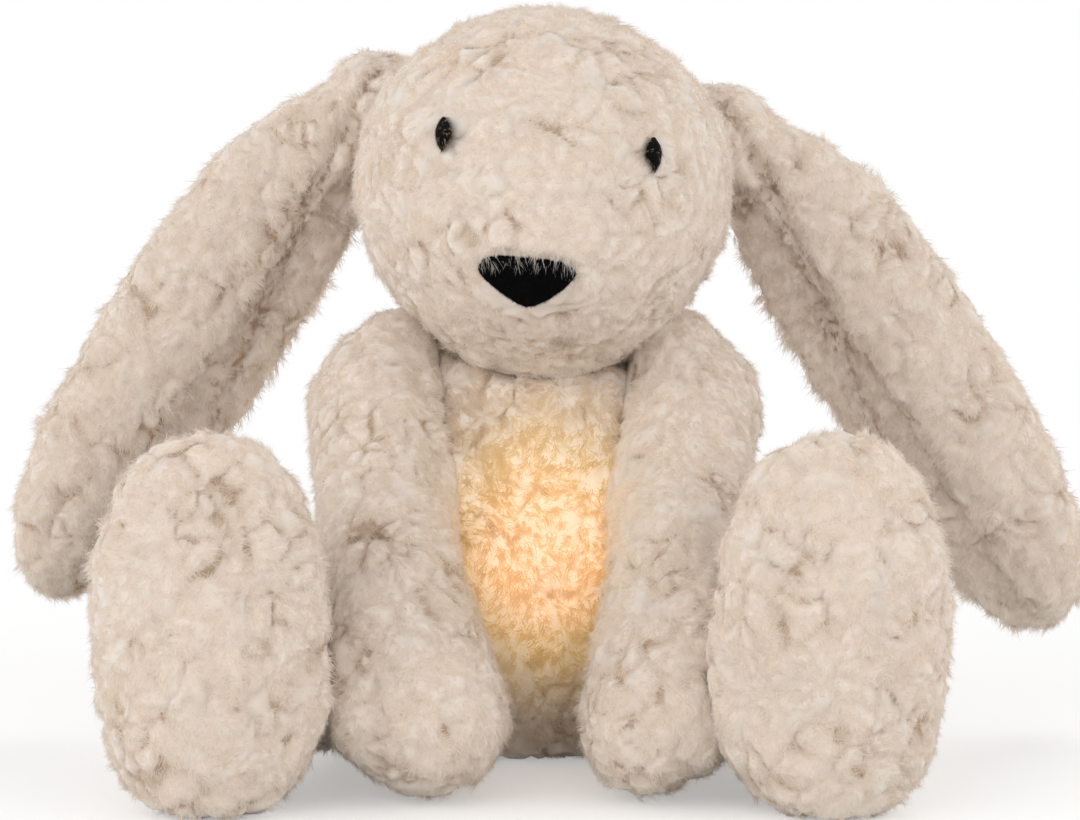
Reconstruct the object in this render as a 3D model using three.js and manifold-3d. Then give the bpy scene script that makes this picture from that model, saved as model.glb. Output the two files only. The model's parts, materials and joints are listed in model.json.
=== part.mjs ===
// A seated plush rabbit with a light and sound module in its belly.
// Millimetres, +Z up. The toy faces -Y, and its own left side is +X.
// The origin is on the floor, under the middle of the torso's flat seat.
import * as THREE from 'three';
import { mergeVertices } from 'three/addons/utils/BufferGeometryUtils.js';
import Module from 'manifold-3d';

const wasm = await Module();
wasm.setup();

// Fabric and fit
const coverThickness = 3;
const clearance = 0.3;
const limbRoom = 1;
const overrun = 4;
const floorGap = 0.8;

// Torso, a pear that stands on its flat seat
const torsoHeight = 152;
const torsoHalfWidth = 61;
const torsoFront = 61;
const torsoBack = 52;
const basePanelThickness = 4;
const bellySeamForward = 14;
const torsoSides = 20;
const torsoInnerSides = 16;
const torsoLevelShares = [0, 0.06, 0.16, 0.3, 0.46, 0.62, 0.78, 0.9, 0.97];
const torsoWideShares = [0.8, 0.93, 1, 1, 0.96, 0.92, 0.86, 0.72, 0.46];
const torsoFrontShares = [0.78, 0.92, 0.99, 1, 0.98, 0.92, 0.8, 0.6, 0.38];
const torsoBackShares = [0.82, 0.94, 1, 0.951, 0.895, 0.839, 0.783, 0.6, 0.34];
const straightBackFrom = 2;
const straightBackTo = 6;

// Neck, a ball of filling between the head and the torso
const neckDrop = 9;
const neckRise = torsoHeight - neckDrop;
const neckRadius = 19;
const neckSides = 12;
const nodForward = THREE.MathUtils.degToRad(8);

// Head, an ellipsoid with a broad muzzle, rolled on its neck
const headHalfWidth = 67;
const headHalfDepth = 62;
const headHalfHeight = 64;
const headOffset = 3;
const headForward = 25;
const headAboveNeck = 57.6;
const headRise = neckRise + headAboveNeck;
const headRoll = THREE.MathUtils.degToRad(5.5);
const headFacets = { sides: 24, rings: 12 };
const headInnerFacets = { sides: 16, rings: 8 };
const headSeamBack = 3;
const muzzleOut = 15;
const muzzleHalfWidth = 36;
const muzzleHalfHeight = 30;
const muzzleDrop = 27;

// Eyes and nose, let into the face
const eyeHalfWidth = 3.2;
const eyeHalfHeight = 6;
const eyeSpread = 35.7;
const eyeRise = 18;
const noseHalfWidth = 16.5;
const noseTop = 8;
const noseBottom = 9;
const noseDrop = 27.5;
const noseShift = 3;
const trimProud = 1;
const trimSunk = 1.5;
const trimCurveSteps = 4;

// Ears, two lobes folded along the outer edge, hung from the sides of the head
const earLength = 226;
const earHalfWidth = 34;
const earRootOut = 60;
const earRootRise = 25;
const earRootBack = 5;
const earRootRadius = 17;
const earTopHang = THREE.MathUtils.degToRad(42);
const earTipHang = THREE.MathUtils.degToRad(27);
const earDriftBack = 9;
const earBends = 5;
const frontLobeHalfThickness = 8.5;
const backLobeHalfThickness = 8;
const lobeOffset = 6;
const frontLobeShift = 10;
const frontLobeWidthShare = 0.66;
const frontLobeLengthShare = 0.985;
const earSides = 10;
const earStationShares = [0, 0.04, 0.12, 0.24, 0.4, 0.58, 0.74, 0.87, 0.96, 1];
const earWideShares = [0, 0.42, 0.6, 0.84, 1, 0.99, 0.93, 0.79, 0.5, 0];
const earDeepShares = [1, 0.8, 1, 1, 1, 1, 1, 0.95, 0.7, 0.3];

// Arms, hung from the shoulders and bowed over the belly, with the paws forward on the floor
const shoulderOut = 57;
const shoulderForward = 16;
const shoulderDrop = 29;
const shoulderRise = torsoHeight - shoulderDrop;
const shoulderRadius = 25;
const elbowForward = 68;
const elbowRise = 88;
const armHalfWidth = 23.5;
const pawForward = 108;
const rightArm = {
  elbowOut: 52,
  out: 36,
  halfWidth: 29.5,
  halfDepth: 27.5,
  swingIn: THREE.MathUtils.degToRad(3),
};
const leftArm = {
  elbowOut: 50.5,
  out: 38.5,
  halfWidth: 25,
  halfDepth: 26.5,
  swingIn: THREE.MathUtils.degToRad(15),
};
const pawSwellShare = 0.45;
const armRaise = THREE.MathUtils.degToRad(25);
const armRaiseSteps = 2;
const armSides = 12;
const armInnerSides = 8;
const capShares = [0.35, 0.7];
const armholeRadius = 12;
const socketSpare = 1.2;
const socketSides = 14;

// Legs, out and forward from the hips to the feet
const hipOut = 62;
const hipForward = 22;
const hipRise = 29;
const hipRadius = 28;
const ankleRadius = 18;
const ankleShift = 6;
const legholeRadius = 12;
const legSides = 12;
const legInnerSides = 8;

// Feet, upright paddles with a sewn sole
const footForward = 125;
const footHalfWidth = 40.5;
const footHeight = 129;
const footFront = 25;
const footBack = 22;
const rightFootOut = 107;
const leftFootOut = 98;
const soleSeamForward = 9;
const footSides = 14;
const footInnerSides = 10;
const footLevelShares = [0, 0.04, 0.14, 0.3, 0.5, 0.7, 0.86, 0.95];
const footWideShares = [0.45, 0.64, 0.84, 0.95, 1, 0.95, 0.76, 0.5];
const footDeepShares = [0.6, 0.8, 0.98, 1, 0.95, 0.85, 0.7, 0.46];

// Tail, sewn to the back under the zip
const tailRadius = 13;
const tailRise = 16;
const tailSink = 3;
const tailSides = 10;

// Zip in the straight part of the back seam
const zipBottom = 40;
const zipDrop = 41;
const zipTop = torsoHeight - zipDrop;
const zipSlitWidth = 9.6;
const tapeSink = 2.3;
const tapeWidth = 9;
const tapeThickness = 0.8;
const tapeEnd = 4;
const coilInset = 0.6;
const coilWidth = 1.6;
const coilHeight = 1.2;
const sliderWidth = 8;
const sliderLength = 10;
const sliderPlate = 0.9;
const sliderWebLength = 3;
const stopLength = 4;
const stopWidth = 5;
const stopHeight = 1.4;
const pullLength = 15;
const pullWidth = 5;
const pullThickness = 1.4;
const pullEyeWall = 1;
const pinRadius = 0.8;
const pinShift = 2.5;
const lugThickness = 0.8;
const lugLength = 3;
const pinSides = 8;

// Module, a drum whose dome faces the belly and whose panel faces the zip
const moduleRadius = 34;
const moduleRise = torsoHeight / 2;
const moduleForward = 52;
const domeDepth = 18;
const domeWall = 2;
const domeSteps = 4;
const caseLength = 40;
const caseWall = 2.2;
const shelfSetBack = 4;
const shelfWidth = 2.6;
const shelfThickness = 2;
const panelThickness = 2.4;
const pouchThickness = 1.2;
const pouchTail = 20;
const drumSides = 24;

// What the module holds
const boardThickness = 1.6;
const ledSize = 5;
const ledHeight = 1.6;
const ledReach = 15;
const ledCount = 4;
const batteryWidth = 28;
const batteryLength = 44;
const batteryThickness = 8;
const speakerRadius = 15;
const speakerRim = 2;
const speakerCone = 5;
const speakerNeckRadius = 9;
const speakerDepth = 9;
const grilleHoleRadius = 1.5;
const grilleReach = 7.5;
const grilleHoles = 6;
const grilleSides = 6;
const bossRadius = 3.2;
const pilotDepth = 7;
const screwRadius = 1.3;
const screwLength = 13;
const screwHeadRadius = 2.6;
const screwHeadHeight = 1.7;
const screwAngles = [36, 144, 216, 324].map(THREE.MathUtils.degToRad);
const smallSides = 10;
const buttonRadius = 3.6;
const buttonProud = 1.5;
const buttonFlange = 1.1;
const buttonFlangeHeight = 1;
const buttonTravel = 1;
const buttonReach = 22;
const buttonHoleRoom = 0.4;
const buttons = [
  { name: 'button_volume_up', angle: THREE.MathUtils.degToRad(18) },
  { name: 'button_sound', angle: THREE.MathUtils.degToRad(54) },
  { name: 'button_light', angle: THREE.MathUtils.degToRad(90) },
  { name: 'button_timer', angle: THREE.MathUtils.degToRad(126) },
  { name: 'button_volume_down', angle: THREE.MathUtils.degToRad(162) },
];
const tactSize = 3.4;
const tactHeight = 1.6;
const knobWidth = 3;
const knobHeight = 2.6;
const knobFlange = 1.4;
const knobFlangeHeight = 1;
const knobProud = 1.2;
const switchTravel = 3;
const switchAngle = THREE.MathUtils.degToRad(300);
const usbAngle = THREE.MathUtils.degToRad(240);
const usbWidth = 9;
const usbHeight = 3.2;
const usbWall = 0.6;
const usbRecess = 0.5;

const plush = { color: 0xeadfcb, roughness: 1 };
const stuffing = { color: 0xf6f4ef, roughness: 1 };
const glowing = { color: 0xffe2a6, roughness: 0.9 };
const thread = { color: 0x14110f, roughness: 0.7 };
const lining = { color: 0xd9cfbf, roughness: 0.9 };
const zipPlastic = { color: 0xe9e2d4, roughness: 0.5 };
const whitePlastic = { color: 0xf2f1ec, roughness: 0.4 };
const frosted = { color: 0xfff4da, roughness: 0.3 };
const boardGreen = { color: 0x1f6b3a, roughness: 0.5 };
const ledYellow = { color: 0xffe08a, roughness: 0.3 };
const steel = { color: 0xb9bcc0, roughness: 0.3, metalness: 1 };
const cellSilver = { color: 0xaab0b6, roughness: 0.4, metalness: 0.6 };
const speakerBlack = { color: 0x1d1e20, roughness: 0.6 };
const buttonGrey = { color: 0x8f969d, roughness: 0.5 };

const across = new THREE.Vector3(1, 0, 0);
const outwards = new THREE.Vector3(0, 1, 0);

// Turn a closed three.js geometry into a solid whose faces point out
function solidOf(geometry) {
  const shape = geometry.clone();
  shape.deleteAttribute('normal');
  shape.deleteAttribute('uv');
  const closed = mergeVertices(shape);
  const triVerts = new Uint32Array(closed.index.array);
  const vertProperties = new Float32Array(closed.attributes.position.array);
  const solid = new wasm.Manifold(new wasm.Mesh({ numProp: 3, vertProperties, triVerts }));
  if (solid.volume() > 0) return solid;
  for (let k = 0; k < triVerts.length; k += 3) {
    [triVerts[k], triVerts[k + 1]] = [triVerts[k + 1], triVerts[k]];
  }
  return new wasm.Manifold(new wasm.Mesh({ numProp: 3, vertProperties, triVerts }));
}

function geometryOf(solid) {
  const mesh = solid.getMesh();
  const geometry = new THREE.BufferGeometry();
  geometry.setAttribute('position', new THREE.Float32BufferAttribute(mesh.vertProperties, mesh.numProp));
  geometry.setIndex(new THREE.Uint32BufferAttribute(mesh.triVerts, 1));
  return geometry;
}

function joined(solids) {
  return solids.reduce((sum, solid) => sum.add(solid));
}

function cut(solid, ...tools) {
  return tools.reduce((rest, tool) => rest.subtract(tool), solid);
}

function piece(parent, name, solid, finish) {
  const mesh = new THREE.Mesh(geometryOf(solid), new THREE.MeshStandardMaterial(finish));
  mesh.name = name;
  parent.add(mesh);
}

// Skin a row of rings that have like numbers of points, and close it with a point at each end
function skin(rings, first, last) {
  const sides = rings[0].length;
  const points = [first, ...rings.flat(), last];
  const topRing = 1 + (rings.length - 1) * sides;
  const faces = [];
  for (let k = 0; k < sides; k += 1) {
    const next = (k + 1) % sides;
    faces.push(0, 1 + next, 1 + k);
    for (let low = 1; low < topRing; low += sides) {
      const high = low + sides;
      faces.push(low + k, low + next, high + next);
      faces.push(low + k, high + next, high + k);
    }
    faces.push(topRing + k, topRing + next, points.length - 1);
  }
  const geometry = new THREE.BufferGeometry().setFromPoints(points);
  geometry.setIndex(faces);
  return geometry;
}

// A form that stands on its lowest level, each level an oval with its own front and back depth
function uprightForm({ at, levels, sides, bottom, top }) {
  const rings = levels.map(({ rise, wide, front, back }) => {
    const ring = [];
    for (let k = 0; k < sides; k += 1) {
      const angle = (2 * Math.PI * k) / sides;
      const depth = Math.sin(angle) < 0 ? front : back;
      ring.push(new THREE.Vector3(at.x + wide * Math.cos(angle), at.y + depth * Math.sin(angle), rise));
    }
    return ring;
  });
  return skin(rings, new THREE.Vector3(at.x, at.y, bottom), new THREE.Vector3(at.x, at.y, top));
}

// A form along a path, its half width and half depth given at distances from the path's start
function pathForm({ path, stations, wideWay, sides }) {
  const length = path.getLength();
  const placed = stations.map(({ reach, wide, deep, shift = 0, lean = 0 }) => {
    const share = THREE.MathUtils.clamp(reach / length, 0, 1);
    const along = path.getTangentAt(share);
    const side = wideWay.clone().addScaledVector(along, -wideWay.dot(along)).normalize();
    const thick = new THREE.Vector3().crossVectors(along, side);
    const middle = path.getPointAt(share).addScaledVector(along, reach - share * length);
    middle.addScaledVector(side, shift).addScaledVector(thick, lean);
    return { middle, side, thick, wide, deep };
  });
  const rings = placed.slice(1, -1).map(({ middle, side, thick, wide, deep }) => {
    const ring = [];
    for (let k = 0; k < sides; k += 1) {
      const angle = (2 * Math.PI * k) / sides;
      const point = middle.clone().addScaledVector(side, wide * Math.cos(angle));
      ring.push(point.addScaledVector(thick, deep * Math.sin(angle)));
    }
    return ring;
  });
  return skin(rings, placed[0].middle, placed.at(-1).middle);
}

function ball(centre, radius, sides) {
  return new THREE.SphereGeometry(radius, sides, sides / 2).translate(centre.x, centre.y, centre.z);
}

// A round bar between two points
function bar(from, to, radius, sides) {
  const length = from.distanceTo(to);
  const direction = to.clone().sub(from).normalize();
  const turn = new THREE.Quaternion().setFromUnitVectors(outwards, direction);
  const middle = from.clone().lerp(to, 0.5);
  const rod = new THREE.CylinderGeometry(radius, radius, length, sides);
  return rod.applyQuaternion(turn).translate(middle.x, middle.y, middle.z);
}

function block(low, high) {
  const size = high.clone().sub(low);
  const middle = low.clone().lerp(high, 0.5);
  return new THREE.BoxGeometry(size.x, size.y, size.z).translate(middle.x, middle.y, middle.z);
}

// A form turned about an axis through a pivot
function swung(geometry, pivot, axis, angle) {
  const turn = new THREE.Matrix4().makeRotationAxis(axis, angle);
  const away = pivot.clone().negate();
  return geometry.translate(...away.toArray()).applyMatrix4(turn).translate(...pivot.toArray());
}

// Everything in front of, behind, above or below a plane, big enough for the whole toy
const reachAll = 2 * (headRise + earLength);
const lowCorner = new THREE.Vector3(-reachAll, -reachAll, -reachAll);
const highCorner = new THREE.Vector3(reachAll, reachAll, reachAll);

function beyond(axisName, place) {
  return solidOf(block(lowCorner.clone().setComponent('xyz'.indexOf(axisName), place), highCorner));
}

function short(axisName, place) {
  return solidOf(block(lowCorner, highCorner.clone().setComponent('xyz'.indexOf(axisName), place)));
}

// Head: its own centre and roll place the face, the ears' roots and the seam
const headCentre = new THREE.Vector3(headOffset, -headForward, headRise);
const headPlace = new THREE.Matrix4().makeRotationY(headRoll).setPosition(headCentre);

function headForm(inset, { sides, rings }) {
  const levels = [];
  for (let k = 1; k < rings; k += 1) {
    const angle = Math.PI - (Math.PI * k) / rings;
    const round = Math.sin(angle);
    const deep = (headHalfDepth - inset) * round;
    levels.push({
      rise: (headHalfHeight - inset) * Math.cos(angle),
      wide: (headHalfWidth - inset) * round,
      front: deep,
      back: deep,
    });
  }
  const top = headHalfHeight - inset;
  const form = uprightForm({ at: new THREE.Vector3(), levels, sides, bottom: -top, top });
  const point = new THREE.Vector3();
  const places = form.attributes.position;
  for (let k = 0; k < places.count; k += 1) {
    point.fromBufferAttribute(places, k);
    if (point.y < 0) {
      const aside = point.x / muzzleHalfWidth;
      const above = (point.z + muzzleDrop) / muzzleHalfHeight;
      const swell = muzzleOut * Math.exp(-aside * aside - above * above);
      places.setY(k, point.y * (1 + swell / headHalfDepth));
    }
  }
  return form.applyMatrix4(headPlace);
}

const neckCentre = new THREE.Vector3(0, 0, neckRise);

// The chin swings lowest, so its travel is kept clear all round under the head
function headRoom(grow) {
  const chinReach = headForward + headHalfDepth / 2;
  return solidOf(headForm(-grow - chinReach * Math.sin(nodForward), headInnerFacets));
}

// Ears: both hang by their weight, so only their roots follow the head's roll
function earPath(sign) {
  const root = new THREE.Vector3(sign * earRootOut, earRootBack + headForward, earRootRise);
  root.applyMatrix4(headPlace);
  const points = [root.clone()];
  for (let k = 0; k < earBends; k += 1) {
    const hang = THREE.MathUtils.lerp(earTopHang, earTipHang, k / (earBends - 1));
    const stride = earLength / earBends;
    const next = points[k].clone();
    next.x += sign * stride * Math.sin(hang);
    next.y += earDriftBack / earBends;
    next.z -= stride * Math.cos(hang);
    points.push(next);
  }
  return { root, path: new THREE.CatmullRomCurve3(points) };
}

function lobe(sign, path, { grow, halfThickness, back, shift, widthShare, lengthShare }) {
  const wideWay = across.clone().multiplyScalar(sign);
  const stations = earStationShares.map((share, k) => ({
    reach: share * lengthShare * path.getLength(),
    wide: earHalfWidth * widthShare * earWideShares[k] + grow,
    deep: halfThickness * earDeepShares[k] + grow,
    shift: shift * earWideShares[k],
    lean: -sign * back * earDeepShares[k],
  }));
  return solidOf(pathForm({ path, stations, wideWay, sides: earSides }));
}

function earSolid(sign, grow) {
  const { root, path } = earPath(sign);
  const back = lobe(sign, path, {
    grow,
    halfThickness: backLobeHalfThickness,
    back: lobeOffset,
    shift: 0,
    widthShare: 1,
    lengthShare: 1,
  });
  const front = lobe(sign, path, {
    grow,
    halfThickness: frontLobeHalfThickness,
    back: -lobeOffset,
    shift: frontLobeShift,
    widthShare: frontLobeWidthShare,
    lengthShare: frontLobeLengthShare,
  });
  return joined([back, front, solidOf(ball(root, earRootRadius + grow, earSides))]);
}

// Limbs: a path form with a round end at each side and sizes spaced evenly between the two
function limbForm({ path, sizes, startCap, endCap, sides, inset }) {
  const length = path.getLength();
  const inner = { wide: sizes[0].wide - inset, deep: sizes[0].deep - inset };
  const outer = { wide: sizes.at(-1).wide - inset, deep: sizes.at(-1).deep - inset };
  const stations = [{ reach: inset, wide: 0, deep: 0 }];
  for (const share of capShares) {
    const angle = (share * Math.PI) / 2;
    const reach = startCap - (startCap - inset) * Math.cos(angle);
    stations.push({ reach, wide: inner.wide * Math.sin(angle), deep: inner.deep * Math.sin(angle) });
  }
  sizes.forEach(({ wide, deep }, k) => {
    const reach = THREE.MathUtils.lerp(startCap, length - endCap, k / (sizes.length - 1));
    stations.push({ reach, wide: wide - inset, deep: deep - inset });
  });
  for (const share of [...capShares].reverse()) {
    const angle = (share * Math.PI) / 2;
    const reach = length - endCap + (endCap - inset) * Math.cos(angle);
    stations.push({ reach, wide: outer.wide * Math.sin(angle), deep: outer.deep * Math.sin(angle) });
  }
  stations.push({ reach: length - inset, wide: 0, deep: 0 });
  return pathForm({ path, stations, wideWay: across, sides });
}

function shoulder(sign) {
  return new THREE.Vector3(sign * shoulderOut, -shoulderForward, shoulderRise);
}

function armForm(sign, arm, inset, sides) {
  const elbow = new THREE.Vector3(sign * arm.elbowOut, -elbowForward, elbowRise);
  const paw = new THREE.Vector3(sign * arm.out, -pawForward, arm.halfDepth + floorGap);
  const startWay = elbow.clone().sub(shoulder(sign)).normalize();
  const endWay = paw.clone().sub(elbow).normalize();
  const path = new THREE.CatmullRomCurve3([
    shoulder(sign).addScaledVector(startWay, -shoulderRadius),
    shoulder(sign),
    elbow,
    paw,
    paw.clone().addScaledVector(endWay, arm.halfDepth),
  ]);
  const sizes = [
    { wide: shoulderRadius, deep: shoulderRadius },
    { wide: armHalfWidth, deep: armHalfWidth },
    { wide: armHalfWidth, deep: armHalfWidth },
    { wide: THREE.MathUtils.lerp(armHalfWidth, arm.halfWidth, pawSwellShare), deep: armHalfWidth },
    { wide: arm.halfWidth, deep: arm.halfDepth },
  ];
  return limbForm({ path, sizes, startCap: shoulderRadius, endCap: arm.halfDepth, sides, inset });
}

// A limb turns at its top end in a round socket
function socketRoom(centre, radius, grow) {
  return solidOf(ball(centre, radius + socketSpare + grow, socketSides));
}

// An arm takes room in the torso as it is raised, which also swings it in past the foot
function armRoom(sign, arm, grow) {
  const axis = across.clone().negate().applyAxisAngle(outwards, -sign * arm.swingIn);
  const rooms = [socketRoom(shoulder(sign), shoulderRadius, grow)];
  for (let k = 0; k <= armRaiseSteps; k += 1) {
    const angle = (armRaise * k) / armRaiseSteps;
    rooms.push(solidOf(swung(armForm(sign, arm, -grow, armSides), shoulder(sign), axis, angle)));
  }
  return joined(rooms);
}

function hip(sign) {
  return new THREE.Vector3(sign * hipOut, -hipForward, hipRise);
}

function legForm(sign, footOut, inset, sides) {
  const ankle = new THREE.Vector3(sign * (footOut + ankleShift), -footForward, hipRise);
  const way = ankle.clone().sub(hip(sign)).normalize();
  const path = new THREE.LineCurve3(hip(sign).addScaledVector(way, -hipRadius), ankle);
  const sizes = [
    { wide: hipRadius, deep: hipRadius },
    { wide: ankleRadius, deep: ankleRadius },
  ];
  return limbForm({ path, sizes, startCap: hipRadius, endCap: ankleRadius, sides, inset });
}

function legRoom(sign, footOut, grow) {
  return solidOf(legForm(sign, footOut, -grow, legSides)).add(socketRoom(hip(sign), hipRadius, grow));
}

function footForm(sign, footOut, inset, sides) {
  const height = footHeight - 2 * inset;
  const levels = footLevelShares.map((share, k) => ({
    rise: inset + share * height,
    wide: footHalfWidth * footWideShares[k] - inset,
    front: footFront * footDeepShares[k] - inset,
    back: footBack * footDeepShares[k] - inset,
  }));
  const at = new THREE.Vector3(sign * footOut, -footForward, 0);
  return uprightForm({ at, levels, sides, bottom: inset, top: footHeight - inset });
}

// Torso
function torsoForm(inset, sides) {
  const height = torsoHeight - 2 * inset;
  const levels = torsoLevelShares.map((share, k) => ({
    rise: inset + share * height,
    wide: torsoHalfWidth * torsoWideShares[k] - inset,
    front: torsoFront * torsoFrontShares[k] - inset,
    back: torsoBack * torsoBackShares[k] - inset,
  }));
  const at = new THREE.Vector3();
  return uprightForm({ at, levels, sides, bottom: inset, top: torsoHeight - inset });
}

const limbs = [
  { side: 'right', sign: -1, arm: rightArm, footOut: rightFootOut },
  { side: 'left', sign: 1, arm: leftArm, footOut: leftFootOut },
];
const neckSocket = solidOf(ball(neckCentre, neckRadius + limbRoom, neckSides));

// The torso without the room that the head, arms and legs need, all of it grown alike
function torsoLeft(inset, grow, sides) {
  const rooms = limbs.flatMap(({ sign, arm, footOut }) => [
    armRoom(sign, arm, grow),
    legRoom(sign, footOut, grow),
  ]);
  return cut(solidOf(torsoForm(inset, sides)), headRoom(grow), ...rooms);
}

// The zip's own frame: x across, y out of the back, z up the straight part of the back seam
function backPoint(level) {
  return new THREE.Vector3(0, torsoBack * torsoBackShares[level], torsoHeight * torsoLevelShares[level]);
}

const zipWay = backPoint(straightBackTo).sub(backPoint(straightBackFrom)).normalize();
const zipStart = backPoint(straightBackFrom);
zipStart.addScaledVector(zipWay, (zipBottom - zipStart.z) / zipWay.z);
const zipOut = zipWay.clone().cross(across);
const zipPlace = new THREE.Matrix4().makeBasis(across, zipOut, zipWay).setPosition(zipStart);
const zipLength = (zipTop - zipBottom) / zipWay.z;
const tapeFace = -coverThickness - tapeSink;
const tapeBack = tapeFace - tapeThickness;
const coilFace = tapeFace + coilHeight;
const plateFace = coilFace + clearance + sliderPlate;
const plateBack = tapeBack - clearance - sliderPlate;

function zipBlock(halfWidth, back, face, low, high) {
  return block(new THREE.Vector3(-halfWidth, back, low), new THREE.Vector3(halfWidth, face, high));
}

const zipSlit = solidOf(
  zipBlock(zipSlitWidth / 2, tapeFace - overrun, overrun, 0, zipLength).applyMatrix4(zipPlace),
);
const grooveEnd = tapeEnd + limbRoom;
const zipGroove = solidOf(
  zipBlock(tapeWidth + limbRoom, plateBack - clearance, overrun, -grooveEnd, zipLength + grooveEnd)
    .applyMatrix4(zipPlace),
);

// Module: its own frame starts at the dome's top, with y running back through the drum
const modulePlace = new THREE.Vector3(0, -moduleForward, moduleRise);
const caseFront = domeDepth + clearance;
const caseBack = caseFront + caseLength;
const panelFront = caseBack + clearance;
const panelBack = panelFront + panelThickness;
const shelfFront = caseFront + shelfSetBack;
const bossReach = moduleRadius - caseWall - bossRadius - clearance;
const tactFace = panelFront - clearance - buttonFlangeHeight - buttonTravel - clearance;
const controlBack = tactFace - tactHeight;
const controlFront = controlBack - boardThickness;
const bossTop = controlFront - clearance;
const pouchInner = moduleRadius + clearance;
const pouchOuter = pouchInner + pouchThickness;

function spot(reach, angle, y) {
  return new THREE.Vector3(reach * Math.cos(angle), y, reach * Math.sin(angle));
}

function post(reach, angle, from, to, radius, sides = smallSides) {
  return solidOf(bar(spot(reach, angle, from), spot(reach, angle, to), radius, sides));
}

function drum(radius, from, to) {
  return solidOf(bar(spot(0, 0, from), spot(0, 0, to), radius, drumSides));
}

function slab(centre, width, height, from, to) {
  const half = new THREE.Vector3(width / 2, 0, height / 2);
  const low = centre.clone().sub(half).setY(from);
  return solidOf(block(low, centre.clone().add(half).setY(to)));
}

function turned(profile, sides) {
  const points = profile.map(([radius, y]) => new THREE.Vector2(radius, y));
  return solidOf(new THREE.LatheGeometry(points, sides));
}

const toy = new THREE.Group();

// Head covers, split along the seam that holds the ears, and the filling inside them
const earSockets = limbs.map(({ sign }) => (
  solidOf(ball(earPath(sign).root, earRootRadius + limbRoom, earSides))
));
const headOuter = solidOf(headForm(0, headFacets));
const headInner = solidOf(headForm(coverThickness, headInnerFacets));
const headShell = cut(headOuter, headInner, neckSocket, ...earSockets);
const trimBed = solidOf(headForm(trimSunk + clearance, headFacets));

// An outline drawn on the face, pushed through the front of the head
function onFace(outline) {
  const depth = headHalfDepth + muzzleOut + overrun;
  const options = { depth, bevelEnabled: false, curveSegments: trimCurveSteps };
  return solidOf(new THREE.ExtrudeGeometry(outline, options).rotateX(Math.PI / 2).applyMatrix4(headPlace));
}

function eyeOutline(place, grow) {
  const outline = new THREE.Shape();
  return outline.absellipse(place, eyeRise, eyeHalfWidth + grow, eyeHalfHeight + grow, 0, 2 * Math.PI);
}

function noseOutline(grow) {
  const wide = noseHalfWidth + grow;
  const high = noseTop + grow - noseDrop;
  const sideHigh = noseTop / 3 - noseDrop;
  const sideLow = -noseBottom / 3 - noseDrop;
  const low = -noseBottom - grow - noseDrop;
  const right = -wide - noseShift;
  const left = wide - noseShift;
  const outline = new THREE.Shape();
  outline.moveTo(-noseShift, high);
  outline.bezierCurveTo(wide / 2 - noseShift, high, left, high, left, sideHigh);
  outline.bezierCurveTo(left, sideLow, wide / 3 - noseShift, low, -noseShift, low);
  outline.bezierCurveTo(-wide / 3 - noseShift, low, right, sideLow, right, sideHigh);
  outline.bezierCurveTo(right, high, -wide / 2 - noseShift, high, -noseShift, high);
  return outline;
}

const trims = [
  { name: 'eye_right', outline: (grow) => eyeOutline(-eyeSpread, grow) },
  { name: 'eye_left', outline: (grow) => eyeOutline(eyeSpread, grow) },
  { name: 'nose', outline: noseOutline },
];
const trimBeds = trims.map(({ outline }) => cut(onFace(outline(clearance)), trimBed));
const inFront = short('y', headSeamBack);
piece(toy, 'head_cover_front', cut(headShell.intersect(inFront), ...trimBeds), plush);
piece(toy, 'head_cover_back', headShell.intersect(beyond('y', headSeamBack + clearance)), plush);
const coreInset = coverThickness + clearance;
const headCore = solidOf(headForm(coreInset, headInnerFacets));
const headFilling = cut(headCore, neckSocket, ...earSockets);
piece(toy, 'head_filling', headFilling, stuffing);
for (const { name, outline } of trims) {
  const proud = onFace(outline(0)).intersect(solidOf(headForm(-trimProud, headFacets)));
  piece(toy, name, cut(proud, solidOf(headForm(trimSunk, headFacets))), thread);
}
piece(toy, 'neck_filling', solidOf(ball(neckCentre, neckRadius, neckSides)), stuffing);

// Torso covers, base panel and filling
const aboveBase = beyond('z', basePanelThickness + clearance);
const torsoOuter = torsoLeft(0, limbRoom, torsoSides);
const torsoInner = torsoLeft(coverThickness, limbRoom + coverThickness, torsoInnerSides);
const torsoShell = cut(torsoOuter, torsoInner, neckSocket).intersect(aboveBase);
const torsoBackShell = cut(torsoShell.intersect(beyond('y', -bellySeamForward + clearance)), zipSlit);
piece(toy, 'belly_panel', torsoShell.intersect(short('y', -bellySeamForward)), glowing);
piece(toy, 'back_cover_right', torsoBackShell.intersect(short('x', -clearance / 2)), plush);
piece(toy, 'back_cover_left', torsoBackShell.intersect(beyond('x', clearance / 2)), plush);
piece(toy, 'base_panel', torsoOuter.intersect(short('z', basePanelThickness)), plush);
const bore = drum(pouchOuter + clearance, -torsoFront, torsoFront + torsoBack)
  .translate(modulePlace.toArray());
const torsoCore = cut(torsoLeft(coreInset, limbRoom + coreInset, torsoInnerSides), neckSocket);
piece(toy, 'torso_filling', cut(torsoCore.intersect(aboveBase), bore, zipGroove), stuffing);
const tailCentre = backPoint(straightBackFrom).setZ(tailRise);
tailCentre.y += tailRadius - tailSink;
const tailRoom = solidOf(torsoForm(-clearance, torsoSides));
piece(toy, 'tail', cut(solidOf(ball(tailCentre, tailRadius, tailSides)), tailRoom), plush);

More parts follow.
